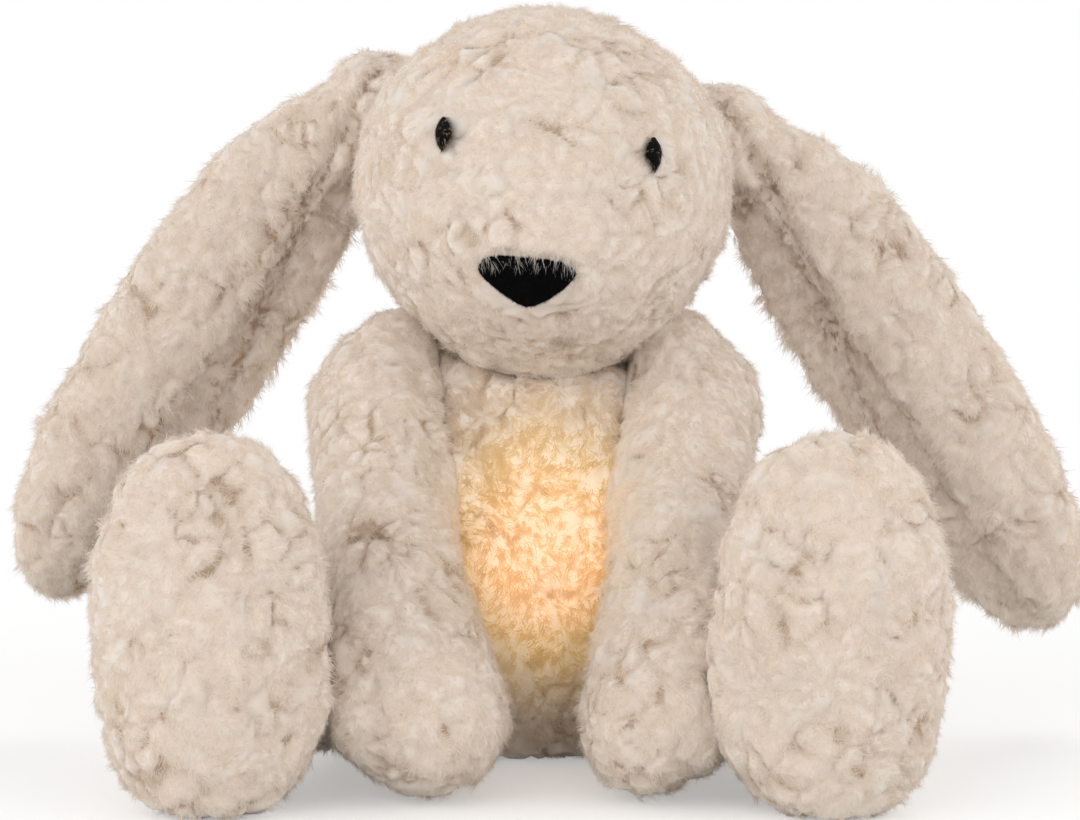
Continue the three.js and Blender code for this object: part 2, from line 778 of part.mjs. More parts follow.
// Ears, arms, legs and feet, alike on both sides
for (const { side, sign, arm, footOut } of limbs) {
  piece(toy, `ear_${side}`, earSolid(sign, 0), plush);

  const armhole = bar(shoulder(sign), shoulder(sign).setX(0), armholeRadius, smallSides);
  const armInside = solidOf(armForm(sign, arm, coverThickness, armInnerSides));
  const armOutside = solidOf(armForm(sign, arm, 0, armSides));
  piece(toy, `arm_cover_${side}`, cut(armOutside, armInside, solidOf(armhole)), plush);
  piece(toy, `arm_filling_${side}`, solidOf(armForm(sign, arm, coreInset, armInnerSides)), stuffing);

  const footRoom = solidOf(footForm(sign, footOut, -clearance, footSides));
  const legHole = solidOf(bar(hip(sign), hip(sign).setX(0), legholeRadius, smallSides));
  const legInside = solidOf(legForm(sign, footOut, coverThickness, legInnerSides));
  const legCover = cut(solidOf(legForm(sign, footOut, 0, legSides)), legInside, footRoom, legHole);
  piece(toy, `leg_cover_${side}`, legCover, plush);
  const legCore = solidOf(legForm(sign, footOut, coreInset, legInnerSides));
  piece(toy, `leg_filling_${side}`, cut(legCore, footRoom), stuffing);

  const ankle = new THREE.Vector3(sign * (footOut + ankleShift), -footForward, hipRise);
  const ankleHole = solidOf(bar(ankle, ankle.clone().setY(0), legholeRadius, smallSides));
  const footOutside = solidOf(footForm(sign, footOut, 0, footSides));
  const footShell = cut(footOutside, solidOf(footForm(sign, footOut, coverThickness, footInnerSides)));
  const soleSeam = -footForward - soleSeamForward;
  const footCover = cut(footShell.intersect(beyond('y', soleSeam + clearance)), ankleHole);
  piece(toy, `foot_cover_${side}`, footCover, plush);
  piece(toy, `foot_sole_${side}`, footShell.intersect(short('y', soleSeam)), plush);
  piece(toy, `foot_filling_${side}`, solidOf(footForm(sign, footOut, coreInset, footInnerSides)), stuffing);
}

// Zip, in its own frame on the back
const zip = new THREE.Group();
zip.applyMatrix4(zipPlace);
toy.add(zip);
for (const { side, sign } of limbs) {
  const width = tapeWidth - coilInset;
  const middle = sign * (coilInset + width / 2);
  const tape = zipBlock(width / 2, tapeBack, tapeFace, -tapeEnd, zipLength + tapeEnd).translate(middle, 0, 0);
  const coilMiddle = sign * (coilInset + coilWidth / 2);
  const coilStart = stopLength + clearance;
  const coil = zipBlock(coilWidth / 2, tapeBack, coilFace, coilStart, zipLength + tapeEnd);
  const both = solidOf(tape).add(solidOf(coil.translate(coilMiddle, 0, 0)));
  piece(zip, `zip_tape_${side}`, both, zipPlastic);
}
const stopBack = tapeFace + clearance;
const stop = zipBlock(stopWidth / 2, stopBack, stopBack + stopHeight, 0, stopLength);
piece(zip, 'zip_stop', solidOf(stop), steel);

// The slider rests at the top of the slit; its web runs in the gap between the two coils
const sliderTop = zipLength - clearance;
const sliderBottom = sliderTop - sliderLength;
const webHalf = coilInset - clearance;
const sliderMiddle = (sliderTop + sliderBottom) / 2;
const pinCentre = new THREE.Vector3(0, clearance + pullThickness / 2, sliderMiddle + pinShift);
const lugInner = pullWidth / 2 + clearance;
const pinEnd = new THREE.Vector3(lugInner + lugThickness, 0, 0);
const lugs = [-1, 1].map((sign) => {
  const lug = zipBlock(
    lugThickness / 2,
    plateFace - sliderPlate / 2,
    pinCentre.y + 2 * pinRadius,
    pinCentre.z - lugLength / 2,
    pinCentre.z + lugLength / 2,
  );
  return solidOf(lug.translate(sign * (lugInner + lugThickness / 2), 0, 0));
});
const slider = joined([
  solidOf(zipBlock(sliderWidth / 2, plateFace - sliderPlate, plateFace, sliderBottom, sliderTop)),
  solidOf(zipBlock(sliderWidth / 2, plateBack, plateBack + sliderPlate, sliderBottom, sliderTop)),
  solidOf(zipBlock(webHalf, plateBack, plateFace, sliderTop - sliderWebLength, sliderTop)),
  ...lugs,
  solidOf(bar(pinCentre.clone().sub(pinEnd), pinCentre.clone().add(pinEnd), pinRadius, pinSides)),
]);
piece(zip, 'zip_slider', slider, steel);
const eyeRadius = pinRadius + clearance + pullEyeWall;
const eyeHalf = new THREE.Vector3(pullWidth / 2, 0, 0);
const eyeReach = eyeHalf.clone().setX(pullWidth / 2 + overrun);
const pullEye = bar(pinCentre.clone().sub(eyeHalf), pinCentre.clone().add(eyeHalf), eyeRadius, pinSides);
const pinRoom = bar(
  pinCentre.clone().sub(eyeReach), pinCentre.clone().add(eyeReach), pinRadius + clearance, pinSides,
);
const tab = zipBlock(
  pullWidth / 2, pinCentre.y - pullThickness / 2, pinCentre.y + pullThickness / 2,
  pinCentre.z - pullLength, pinCentre.z,
);
piece(zip, 'zip_pull', cut(solidOf(pullEye).add(solidOf(tab)), solidOf(pinRoom)), steel);

// Pouch and module, in the module's own frame
const module = new THREE.Group();
module.position.copy(modulePlace);
toy.add(module);
const pouchEnd = panelBack + pouchTail;
const pouchHollow = drum(pouchInner, caseFront - overrun, pouchEnd + overrun);
piece(module, 'module_pouch', cut(drum(pouchOuter, caseFront, pouchEnd), pouchHollow), lining);

const domeProfile = [];
for (let k = 0; k <= domeSteps; k += 1) {
  const angle = (k * Math.PI) / 2 / domeSteps;
  domeProfile.push([moduleRadius * Math.sin(angle), domeDepth * (1 - Math.cos(angle))]);
}
for (let k = domeSteps; k >= 0; k -= 1) {
  const angle = (k * Math.PI) / 2 / domeSteps;
  const inner = (moduleRadius - domeWall) * Math.sin(angle);
  domeProfile.push([inner, domeDepth - (domeDepth - domeWall) * Math.cos(angle)]);
}
piece(module, 'diffuser', turned(domeProfile, drumSides), frosted);

const caseInner = moduleRadius - caseWall;
const hollow = drum(caseInner, caseFront - overrun, caseBack + overrun);
const tube = cut(drum(moduleRadius, caseFront, caseBack), hollow);
const shelf = cut(
  drum(moduleRadius - caseWall / 2, shelfFront, shelfFront + shelfThickness),
  drum(caseInner - shelfWidth, shelfFront - overrun, shelfFront + overrun),
);
const bossFoot = shelfFront + shelfThickness / 2;
const bosses = screwAngles.map((angle) => post(bossReach, angle, bossFoot, bossTop, bossRadius));
const pilots = screwAngles.map((angle) => post(
  bossReach, angle, bossTop - pilotDepth, bossTop + overrun, screwRadius + clearance,
));
piece(module, 'module_case', cut(joined([tube, shelf, ...bosses]), ...pilots), whitePlastic);

const ledBack = shelfFront - clearance;
const ledFace = ledBack - boardThickness;
piece(module, 'led_board', drum(caseInner - clearance, ledFace, ledBack), boardGreen);
for (let k = 0; k < ledCount; k += 1) {
  const centre = spot(ledReach, (2 * Math.PI * (k + 1 / 2)) / ledCount, 0);
  const led = slab(centre, ledSize, ledSize, ledFace - clearance - ledHeight, ledFace - clearance);
  piece(module, `led_${k + 1}`, led, ledYellow);
}
const batteryFront = ledBack + clearance;
const middle = new THREE.Vector3();
const cell = slab(middle, batteryWidth, batteryLength, batteryFront, batteryFront + batteryThickness);
piece(module, 'battery', cell, cellSilver);

// Control panel with its holes and spacers, and the board and speaker behind it
const screwHoles = screwAngles.map((angle) => post(
  bossReach, angle, controlFront - overrun, panelBack + overrun, screwRadius + clearance,
));
const spacers = screwAngles.map((angle) => post(
  bossReach, angle, controlBack + clearance, panelFront + panelThickness / 2, bossRadius,
));
const buttonHoles = buttons.map(({ angle }) => post(
  buttonReach, angle, panelFront - overrun, panelBack + overrun, buttonRadius + buttonHoleRoom,
));
function grilleHole(reach, angle) {
  return post(reach, angle, panelFront - overrun, panelBack + overrun, grilleHoleRadius, grilleSides);
}

const grille = [grilleHole(0, 0)];
for (let k = 0; k < grilleHoles; k += 1) {
  grille.push(grilleHole(grilleReach, (2 * Math.PI * k) / grilleHoles));
}

function panelSlot(middle, width, height) {
  return slab(middle, width, height, panelFront - overrun, panelBack + overrun);
}

const knobRoom = knobWidth + switchTravel + 2 * clearance;
const switchMiddle = spot(buttonReach, switchAngle, 0);
const usbMiddle = spot(buttonReach, usbAngle, 0);
const slots = [
  panelSlot(switchMiddle, knobRoom, knobHeight + 2 * clearance),
  panelSlot(usbMiddle, usbWidth + 2 * clearance, usbHeight + 2 * clearance),
];
const panel = joined([drum(moduleRadius, panelFront, panelBack), ...spacers]);
const panelCuts = [...screwHoles, ...buttonHoles, ...grille, ...slots];
piece(module, 'control_panel', cut(panel, ...panelCuts), whitePlastic);

const controlDisc = cut(
  drum(caseInner - clearance, controlFront, controlBack),
  drum(speakerRadius + limbRoom, controlFront - overrun, controlBack + overrun),
  ...screwHoles,
);
const tacts = buttons.map(({ angle }) => slab(
  spot(buttonReach, angle, 0), tactSize, tactSize, controlFront + boardThickness / 2, tactFace,
));
piece(module, 'control_board', joined([controlDisc, ...tacts]), boardGreen);

const speakerFace = panelFront - clearance;
const speaker = turned([
  [0, speakerFace],
  [speakerRadius, speakerFace],
  [speakerRadius, speakerFace - speakerRim],
  [speakerNeckRadius, speakerFace - speakerRim - speakerCone],
  [speakerNeckRadius, speakerFace - speakerDepth],
  [0, speakerFace - speakerDepth],
], drumSides);
piece(module, 'speaker', speaker, speakerBlack);

const usbBack = panelBack - usbRecess;
const usbShell = slab(usbMiddle, usbWidth, usbHeight, controlBack + clearance, usbBack);
const usbInside = { width: usbWidth - 2 * usbWall, height: usbHeight - 2 * usbWall };
const usbFloor = controlBack + clearance + usbWall;
const usbHollow = slab(usbMiddle, usbInside.width, usbInside.height, usbFloor, usbBack + overrun);
piece(module, 'usb_socket', cut(usbShell, usbHollow), steel);

// Buttons and the switch, each held behind the panel by a flange
const flangeFace = panelFront - clearance;
for (const { name, angle } of buttons) {
  const cap = post(buttonReach, angle, flangeFace - buttonFlangeHeight, panelBack + buttonProud, buttonRadius);
  const flange = post(
    buttonReach, angle, flangeFace - buttonFlangeHeight, flangeFace, buttonRadius + buttonFlange,
  );
  piece(module, name, cap.add(flange), buttonGrey);
}
const knobMiddle = switchMiddle.clone();
knobMiddle.x -= switchTravel / 2;
const knob = slab(knobMiddle, knobWidth, knobHeight, flangeFace - knobFlangeHeight, panelBack + knobProud);
const knobBase = slab(
  knobMiddle,
  knobWidth + 2 * knobFlange,
  knobHeight + 2 * knobFlange,
  flangeFace - knobFlangeHeight,
  flangeFace,
);
piece(module, 'power_switch', knob.add(knobBase), buttonGrey);

for (const angle of screwAngles) {
  const headFace = panelBack + clearance;
  const screw = turned([
    [0, headFace + screwHeadHeight],
    [screwHeadRadius, headFace + screwHeadHeight],
    [screwHeadRadius, headFace],
    [screwRadius, headFace],
    [screwRadius, headFace - screwLength],
    [0, headFace - screwLength],
  ], smallSides);
  const place = spot(bossReach, angle, 0);
  piece(module, `case_screw_${screwAngles.indexOf(angle) + 1}`, screw.translate(place.toArray()), steel);
}

export default toy;
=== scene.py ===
"""A seated plush rabbit with a glowing belly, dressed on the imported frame. Metres, +Z up."""
import json
import math
import random

import bmesh
import bpy
import numpy as np
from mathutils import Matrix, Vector, noise
from mathutils.bvhtree import BVHTree

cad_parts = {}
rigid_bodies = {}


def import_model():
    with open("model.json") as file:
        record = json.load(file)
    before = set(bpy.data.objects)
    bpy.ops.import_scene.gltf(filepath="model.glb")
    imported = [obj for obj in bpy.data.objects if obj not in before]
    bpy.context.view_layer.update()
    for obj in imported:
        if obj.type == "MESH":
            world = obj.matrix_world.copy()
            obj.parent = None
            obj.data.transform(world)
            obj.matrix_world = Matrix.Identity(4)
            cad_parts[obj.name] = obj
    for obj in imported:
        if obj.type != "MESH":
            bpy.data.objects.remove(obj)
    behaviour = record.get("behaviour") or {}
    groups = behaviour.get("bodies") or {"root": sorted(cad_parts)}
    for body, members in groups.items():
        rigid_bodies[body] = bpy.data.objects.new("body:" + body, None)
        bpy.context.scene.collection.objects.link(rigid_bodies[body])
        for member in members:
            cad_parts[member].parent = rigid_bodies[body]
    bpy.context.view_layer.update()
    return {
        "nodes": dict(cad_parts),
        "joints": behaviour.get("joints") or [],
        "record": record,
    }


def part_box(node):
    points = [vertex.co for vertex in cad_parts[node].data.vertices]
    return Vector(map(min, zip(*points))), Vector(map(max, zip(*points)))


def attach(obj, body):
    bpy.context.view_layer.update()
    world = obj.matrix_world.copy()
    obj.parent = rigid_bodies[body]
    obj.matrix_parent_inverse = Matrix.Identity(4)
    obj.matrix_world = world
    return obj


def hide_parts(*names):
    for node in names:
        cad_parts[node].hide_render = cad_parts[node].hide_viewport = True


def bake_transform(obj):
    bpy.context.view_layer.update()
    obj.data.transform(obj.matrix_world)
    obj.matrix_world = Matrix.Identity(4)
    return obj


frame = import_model()
MM = 0.001

# Camera
# The photograph is taken from just above the toy's middle with a long lens, so the
# camera stands well back, on the line from the toy's middle at seven degrees up.
camera_target = Vector((1.8, 0, 118.9)) * MM
camera_distance = 1300 * MM
camera_rise = math.radians(7)


def piece_from(name, data):
    made = bpy.data.objects.new(name, data)
    bpy.context.scene.collection.objects.link(made)
    return made


camera_data = bpy.data.cameras.new("camera")
camera_data.lens = 120
camera = piece_from("camera", camera_data)
away = Vector((0, -math.cos(camera_rise), math.sin(camera_rise)))
camera.location = camera_target + away * camera_distance
camera.rotation_euler = (-away).to_track_quat("-Z", "Y").to_euler()
bpy.context.scene.camera = camera


class Wire:
    """One socket of a node tree. A sum of wires adds Math nodes, and a vector's work is done by name."""

    def __init__(self, graph, socket):
        self.graph = graph
        self.socket = socket

    def math(self, operation, *others):
        return self.graph.node("ShaderNodeMath", {"operation": operation}, dict(enumerate((self, *others))))

    def __add__(self, other):
        return self.math("ADD", other)

    def __sub__(self, other):
        return self.math("SUBTRACT", other)

    def __rsub__(self, other):
        return self * -1 + other

    def __mul__(self, other):
        return self.math("MULTIPLY", other)

    def __truediv__(self, other):
        return self.math("DIVIDE", other)

    __radd__ = __add__
    __rmul__ = __mul__

    def clamped(self):
        return self.graph.node("ShaderNodeClamp", {}, {"Value": self})

    def vector(self, operation, other=None, output=0):
        values = {0: self} if other is None else {0: self, 1: other}
        return self.graph.node("ShaderNodeVectorMath", {"operation": operation}, values, output)

    def scaled(self, by):
        return self.graph.node("ShaderNodeVectorMath", {"operation": "SCALE"}, {0: self, "Scale": by})

    def length(self):
        return self.vector("LENGTH", output="Value")

    def part(self, letter):
        return self.graph.node("ShaderNodeSeparateXYZ", {}, {0: self}, letter)

    def beside(self, output):
        """Another output of the same node."""
        return Wire(self.graph, self.socket.node.outputs[output])


class Graph:
    """A node tree being built: node() adds any node, its settings first and then its sockets."""

    def __init__(self, tree):
        self.tree = tree
        tree.nodes.clear()

    def node(self, kind, settings=None, values=None, output=0):
        made = self.tree.nodes.new(kind)
        for name, setting in (settings or {}).items():
            if name == "stops":
                self.set_stops(made.color_ramp, setting)
            else:
                setattr(made, name, setting)
        for name, value in (values or {}).items():
            if isinstance(value, Wire):
                self.tree.links.new(value.socket, made.inputs[name])
            else:
                made.inputs[name].default_value = value
        return Wire(self, made.outputs[output]) if len(made.outputs) else None

    @staticmethod
    def set_stops(ramp, stops):
        while len(ramp.elements) < len(stops):
            ramp.elements.new(1)
        for element, (place, colour) in zip(ramp.elements, stops):
            element.position = place
            element.color = (*colour, 1)

    def ramp(self, stops, share):
        return self.node("ShaderNodeValToRGB", {"stops": stops}, {"Fac": share})

    def noise(self, place, scale, detail=2.0, output="Fac", distortion=0.0):
        values = {"Vector": place, "Scale": scale, "Detail": detail, "Distortion": distortion}
        return self.node("ShaderNodeTexNoise", {}, values, output)

    def spot(self):
        return self.node("ShaderNodeTexCoord", {}, {}, "Object")


# Room
# A round pale floor that fades to the white of the sky at its rim, and soft lamps: two in
# front, one on each side and one behind, with an even sky.
pure_white = (1, 1, 1, 1)
paper_grey = (0.82, 0.82, 0.82, 1)
paper_lift = 0.35
floor_radius = 1.6
floor_sides = 96
floor_fade_start = 0.45
floor_fade_end = 0.95
sky_strength = 0.58


def srgb(red, green, blue):
    """A colour read from a screen, 0 to 255 a channel, as the linear values that Blender works in."""
    shares = [channel / 255 for channel in (red, green, blue)]
    return tuple(s / 12.92 if s <= 0.04045 else ((s + 0.055) / 1.055) ** 2.4 for s in shares)


def new_material(name):
    material = bpy.data.materials.new(name)
    material.use_nodes = True
    return material, Graph(material.node_tree)


def shader_output(graph, surface):
    graph.node("ShaderNodeOutputMaterial", {}, {"Surface": surface})


floor_mesh = bpy.data.meshes.new("floor")
turns = [2 * math.pi * side / floor_sides for side in range(floor_sides)]
rim = [(floor_radius * math.cos(turn), floor_radius * math.sin(turn), 0) for turn in turns]
floor_mesh.from_pydata(rim, [], [tuple(range(floor_sides))])
piece_from("floor", floor_mesh)

paper, graph = new_material("pale_paper")
seen = graph.node("ShaderNodeLightPath", {}, {}, "Is Camera Ray")
matt = graph.node("ShaderNodeBsdfDiffuse", {}, {"Color": paper_grey})
lift = graph.node("ShaderNodeEmission", {}, {"Color": pure_white, "Strength": seen * paper_lift})
near_floor = graph.node("ShaderNodeAddShader", {}, {0: matt, 1: lift})
far_floor = graph.node("ShaderNodeEmission", {}, {"Color": pure_white, "Strength": 1.0})
fade = (graph.spot().length() - floor_fade_start) / (floor_fade_end - floor_fade_start)
mixed = {0: fade.clamped() * seen, 1: near_floor, 2: far_floor}
shader_output(graph, graph.node("ShaderNodeMixShader", {}, mixed))
floor_mesh.materials.append(paper)

world = bpy.data.worlds.new("sky")
bpy.context.scene.world = world
world.use_nodes = True
graph = Graph(world.node_tree)
seen = graph.node("ShaderNodeLightPath", {}, {}, "Is Camera Ray")
bare = (seen + seen.beside("Is Glossy Ray") + seen.beside("Is Transmission Ray")).clamped()
strength = bare * (1 - sky_strength) + sky_strength
sky = graph.node("ShaderNodeBackground", {}, {"Color": pure_white, "Strength": strength})
graph.node("ShaderNodeOutputWorld", {}, {"Surface": sky})

lamps = {
    "key": {"at": (-0.9, -1.5, 1.0), "size": 1.2, "watts": 3.4},
    "front": {"at": (0.4, -2.0, 0.4), "size": 1.4, "watts": 6},
    "left_fill": {"at": (1.7, -0.8, 0.5), "size": 1.0, "watts": 6.5},
    "right_fill": {"at": (-1.8, -0.7, 0.5), "size": 1.0, "watts": 8.5},
    "back": {"at": (0.3, 1.0, 1.5), "size": 1.0, "watts": 4},
}
for name, lamp in lamps.items():
    light = bpy.data.lights.new(name, "AREA")
    light.shape = "DISK"
    light.size = lamp["size"]
    light.energy = lamp["watts"]
    lit = piece_from(name, light)
    lit.location = lamp["at"]
    lit.visible_camera = False
    lit.rotation_euler = (camera_target - lit.location).to_track_quat("-Z", "Y").to_euler()

bpy.context.scene.view_settings.view_transform = "Standard"


# Head
# A ball of plush sewn from a front and a back cover and stuffed hard. The pile is long and
# matted: fine strands gathered into locks that lie over in swirls, with partings between.
def merged_copy(name, nodes):
    """One object with copies of the named CAD solids, their shared corners merged."""
    places, corners = [], []
    for node in nodes:
        source = frame["nodes"][node].data
        index = {}
        renumbered = []
        for vertex in source.vertices:
            key = tuple(round(c, 8) for c in vertex.co)
            if key not in index:
                index[key] = len(places)
                places.append(vertex.co.copy())
            renumbered.append(index[key])
        for face in source.polygons:
            ring = [renumbered[v] for v in face.vertices]
            if len(set(ring)) > 2:
                corners.append(ring)
    mesh = bpy.data.meshes.new(name)
    mesh.from_pydata(places, [], corners)
    return piece_from(name, mesh)


def settled(thing):
    """The object's mesh with its modifiers applied, as a new object; the old one is removed."""
    graph_now = bpy.context.evaluated_depsgraph_get()
    mesh = bpy.data.meshes.new_from_object(thing.evaluated_get(graph_now))
    name = thing.name
    bpy.data.objects.remove(thing)
    mesh.name = name
    return piece_from(name, mesh)


def outer_shell(thing):
    """Keeps the mesh's largest closed shell, without the walls of the hollows inside it."""
    edit = bmesh.new()
    edit.from_mesh(thing.data)
    seen, shells = set(), []
    for start in edit.verts:
        if start in seen:
            continue
        shell = {start}
        edge = shell
        while edge:
            edge = {link.other_vert(vertex) for vertex in edge for link in vertex.link_edges} - shell
            shell |= edge
        seen |= shell
        shells.append(shell)
    largest = max(shells, key=len)
    bmesh.ops.delete(edit, geom=[v for v in edit.verts if v not in largest], context="VERTS")
    edit.to_mesh(thing.data)
    edit.free()
    return thing


def modified(thing, kind, **settings):
    """Adds a modifier with its settings."""
    change = thing.modifiers.new(kind, kind)
    for name, setting in settings.items():
        setattr(change, name, setting)
    return change


def stuffed_form(name, nodes, voxel, rounds, sink, whole=True):
    """The sewn solids as one soft closed form: remeshed, smoothed, and drawn in by sink."""
    form = merged_copy(name, nodes)
    modified(form, "REMESH", mode="VOXEL", voxel_size=voxel, use_smooth_shade=True)
    modified(form, "SMOOTH", factor=0.5, iterations=rounds)
    modified(form, "DISPLACE", strength=-sink, mid_level=0)
    return outer_shell(settled(form)) if whole else settled(form)


def solid_tree(nodes):
    """A search tree of the named CAD solids' faces."""
    places, corners = [], []
    for node in nodes:
        source = frame["nodes"][node].data
        start = len(places)
        places.extend(vertex.co.copy() for vertex in source.vertices)
        corners.extend([start + v for v in face.vertices] for face in source.polygons)
    return BVHTree.FromPolygons(places, corners)


skin_sink = 0.6 * MM
open_reach = 16 * MM
open_start = 4.5 * MM
open_tilt = 0.9
open_ways = ((0, 0), (1, 0), (-1, 0), (0, 1), (0, -1))


def openness(thing, nodes):
    """At each corner of the skin, the share of outward rays that meet neither it nor its neighbours."""
    mesh = thing.data
    own = BVHTree.FromPolygons([v.co for v in mesh.vertices], [list(p.vertices) for p in mesh.polygons])
    walls = (own, solid_tree(nodes))
    shares = np.zeros(len(mesh.vertices))
    for vertex in mesh.vertices:
        outward = vertex.normal
        side = outward.orthogonal().normalized()
        other_side = outward.cross(side)
        start = vertex.co + outward * open_start
        free = 0
        for right, up in open_ways:
            ray = (outward + (side * right + other_side * up) * open_tilt).normalized()
            if not any(wall.ray_cast(start, ray, open_reach)[0] for wall in walls):
                free += 1
        shares[vertex.index] = free / len(open_ways)
    return shares


def corners_of(thing):
    """The places of a mesh's corners as an array."""
    flat = np.zeros(len(thing.data.vertices) * 3)
    thing.data.vertices.foreach_get("co", flat)
    return flat.reshape(-1, 3)


def place_corners(thing, places):
    thing.data.vertices.foreach_set("co", places.ravel())
    thing.data.update()


def outward_of(thing):
    return np.array([vertex.normal for vertex in thing.data.vertices])


def moved(thing, along, amounts):
    """Moves each corner of a mesh along its own direction."""
    place_corners(thing, corners_of(thing) + along * amounts[:, None])


def set_field(thing, name, values):
    """Writes one number at each corner of a mesh."""
    field = thing.data.attributes.get(name) or thing.data.attributes.new(name, "FLOAT", "POINT")
    field.data.foreach_set("value", np.asarray(values, np.float32))


def field_of(thing, name):
    """Reads one number at each corner of a mesh."""
    values = np.zeros(len(thing.data.vertices), np.float32)
    thing.data.attributes[name].data.foreach_get("value", values)
    return values


lock_kinds = 6
lock_bend_share = 0.26
lock_steps = 8
wisp_aside = 1.3
wisp_rise = (0.05, 0.6)
wisp_length = (0.4, 0.75)
strand_length = (0.7, 1.15)
strand_width = (0.7, 1.3)
strand_bend = 0.24
strand_roll = 0.3
strand_points = ((0.0, 1.0), (0.4, 0.8), (1, 0.5))
matted_lock = {"strands": 9, "wisps": 14, "length": 7.2 * MM, "half_width": 0.16 * MM, "spread": 2.1 * MM}
matted_lock |= {"rise": math.radians(25), "lie": math.radians(-7), "stray": 0.2}
fringe_lock = {"strands": 4, "wisps": 0, "length": 8.4 * MM, "half_width": 0.12 * MM, "spread": 0.9 * MM}
fringe_lock |= {"rise": math.radians(88), "lie": math.radians(-12), "stray": 0.35}


def lock_point(share, length, bend, rise, lie):
    """A place along a strand: it rises from the backing, then lies over towards +X and bends aside."""
    place = Vector((0, 0, -0.6 * MM))
    for step in range(lock_steps):
        angle = rise + (lie - rise) * (step + 0.5) / lock_steps * share
        place += Vector((math.cos(angle), 0, math.sin(angle))) * (length * share / lock_steps)
    place.y += bend * share**2
    return place


def lock_mesh(name, sizes, bend, luck):
    """A loose lock of flat strands that lie the same way, with straight wisps that stray out of it."""
    places, faces, marks = [], [], []
    stray = sizes["stray"]
    for _ in range(sizes["wisps"]):
        aside, rise = luck.uniform(-wisp_aside, wisp_aside), luck.uniform(*wisp_rise)
        turn = luck.uniform(0, 2 * math.pi)
        spread = sizes["spread"] * math.sqrt(luck.random())
        root = Vector((spread * math.cos(turn), spread * math.sin(turn), -0.3 * MM))
        way = Vector((math.cos(rise) * math.cos(aside), math.cos(rise) * math.sin(aside), math.sin(rise)))
        wide = Vector((-math.sin(aside), math.cos(aside), 0)) * sizes["half_width"]
        start = len(places)
        tip = root + way * sizes["length"] * luck.uniform(*wisp_length)
        places.extend([root + wide, root - wide, tip])
        faces.append((start, start + 1, start + 2))
        marks.extend([(1, 0.2), (0, 0.2), (0.5, 1)])
    for _ in range(sizes["strands"]):
        length = sizes["length"] * luck.uniform(*strand_length)
        rise = sizes["rise"] + luck.uniform(-stray, stray)
        lie = sizes["lie"] + luck.uniform(-stray / 2, stray)
        turn = luck.uniform(0, 2 * math.pi)
        spread = sizes["spread"] * math.sqrt(luck.random())
        own_bend = sizes["length"] * (bend + luck.uniform(-strand_bend, strand_bend))
        points = []
        for share, kept in strand_points:
            aside = Vector((spread * math.cos(turn) * kept, spread * math.sin(turn) * kept, 0))
            points.append(lock_point(share, length, own_bend, rise, lie) + aside)
        roll = luck.uniform(-strand_roll, strand_roll)
        half_width = sizes["half_width"] * luck.uniform(*strand_width)
        wide = Vector((0, math.cos(roll), math.sin(roll))) * half_width
        start = len(places)
        places.extend([points[0], points[1] - wide, points[1] + wide, points[2]])
        faces.extend([(start, start + 1, start + 2), (start + 1, start + 3, start + 2)])
        marks.extend([(0.5, 0), (0, 0.5), (1, 0.5), (0, 0.5), (0.5, 1), (1, 0.5)])
    mesh = bpy.data.meshes.new(name)
    mesh.from_pydata(places, [], faces)
    field = mesh.uv_layers.new(name="OFBake")
    field.data.foreach_set("uv", [c for mark in marks for c in mark])
    mesh.shade_smooth()
    return bpy.data.objects.new(name, mesh)


def lock_family(name, sizes, seed):
    """A collection of locks of one size, each with its own bend."""
    family = bpy.data.collections.new(name)
    luck = random.Random(seed)
    for kind in range(lock_kinds):
        bend = lock_bend_share * (2 * kind / (lock_kinds - 1) - 1)
        family.objects.link(lock_mesh(f"{name}_{kind}", sizes, bend, luck))
    return family


matted_locks = lock_family("matted_lock", matted_lock, 7)
fringe_locks = lock_family("fringe_lock", fringe_lock, 8)


def new_tree(name, kinds):
    """A tree of Geometry Nodes that takes a skin and named inputs: its graph, and a wire from each input."""
    tree = bpy.data.node_groups.new(name, "GeometryNodeTree")
    kinds = {"Skin": "Geometry", **kinds}
    for label, kind in kinds.items():
        tree.interface.new_socket(label, in_out="INPUT", socket_type=f"NodeSocket{kind}")
    tree.interface.new_socket("Result", in_out="OUTPUT", socket_type="NodeSocketGeometry")
    graph = Graph(tree)
    return graph, {label: graph.node("NodeGroupInput", {}, {}, label) for label in kinds}


def named_field(graph, name, kind="FLOAT"):
    return graph.node("GeometryNodeInputNamedAttribute", {"data_type": kind}, {"Name": name})


def stored(graph, shape, name, value, kind="FLOAT", domain="POINT"):
    """The geometry with a value written at each point or corner."""
    values = {"Geometry": shape, "Name": name, "Value": value}
    return graph.node("GeometryNodeStoreNamedAttribute", {"data_type": kind, "domain": domain}, values)


def drifting(graph, place, scale):
    """A slow wave through space that points a different way at each place."""
    return graph.noise(place, scale, 1.0, "Color").vector("SUBTRACT", (0.5, 0.5, 0.5))


chance_kinds = ("FLOAT_VECTOR", "FLOAT", "INT")
closest_share = 0.6
wobble_low = (-0.16, -0.13, -0.5)
wobble_high = (0.16, 0.1, 0.5)
pile_lowest = (-1, -1, 0.4 * MM)
tone_middle = 0.72
tone_spread = 0.22
cell_tone = 0.1
crease_painted_shade = 0.95
hollow_painted_shade = 0.24
crease_height = 0.6
crease_patches = 45.0
broad_patches = 28.0


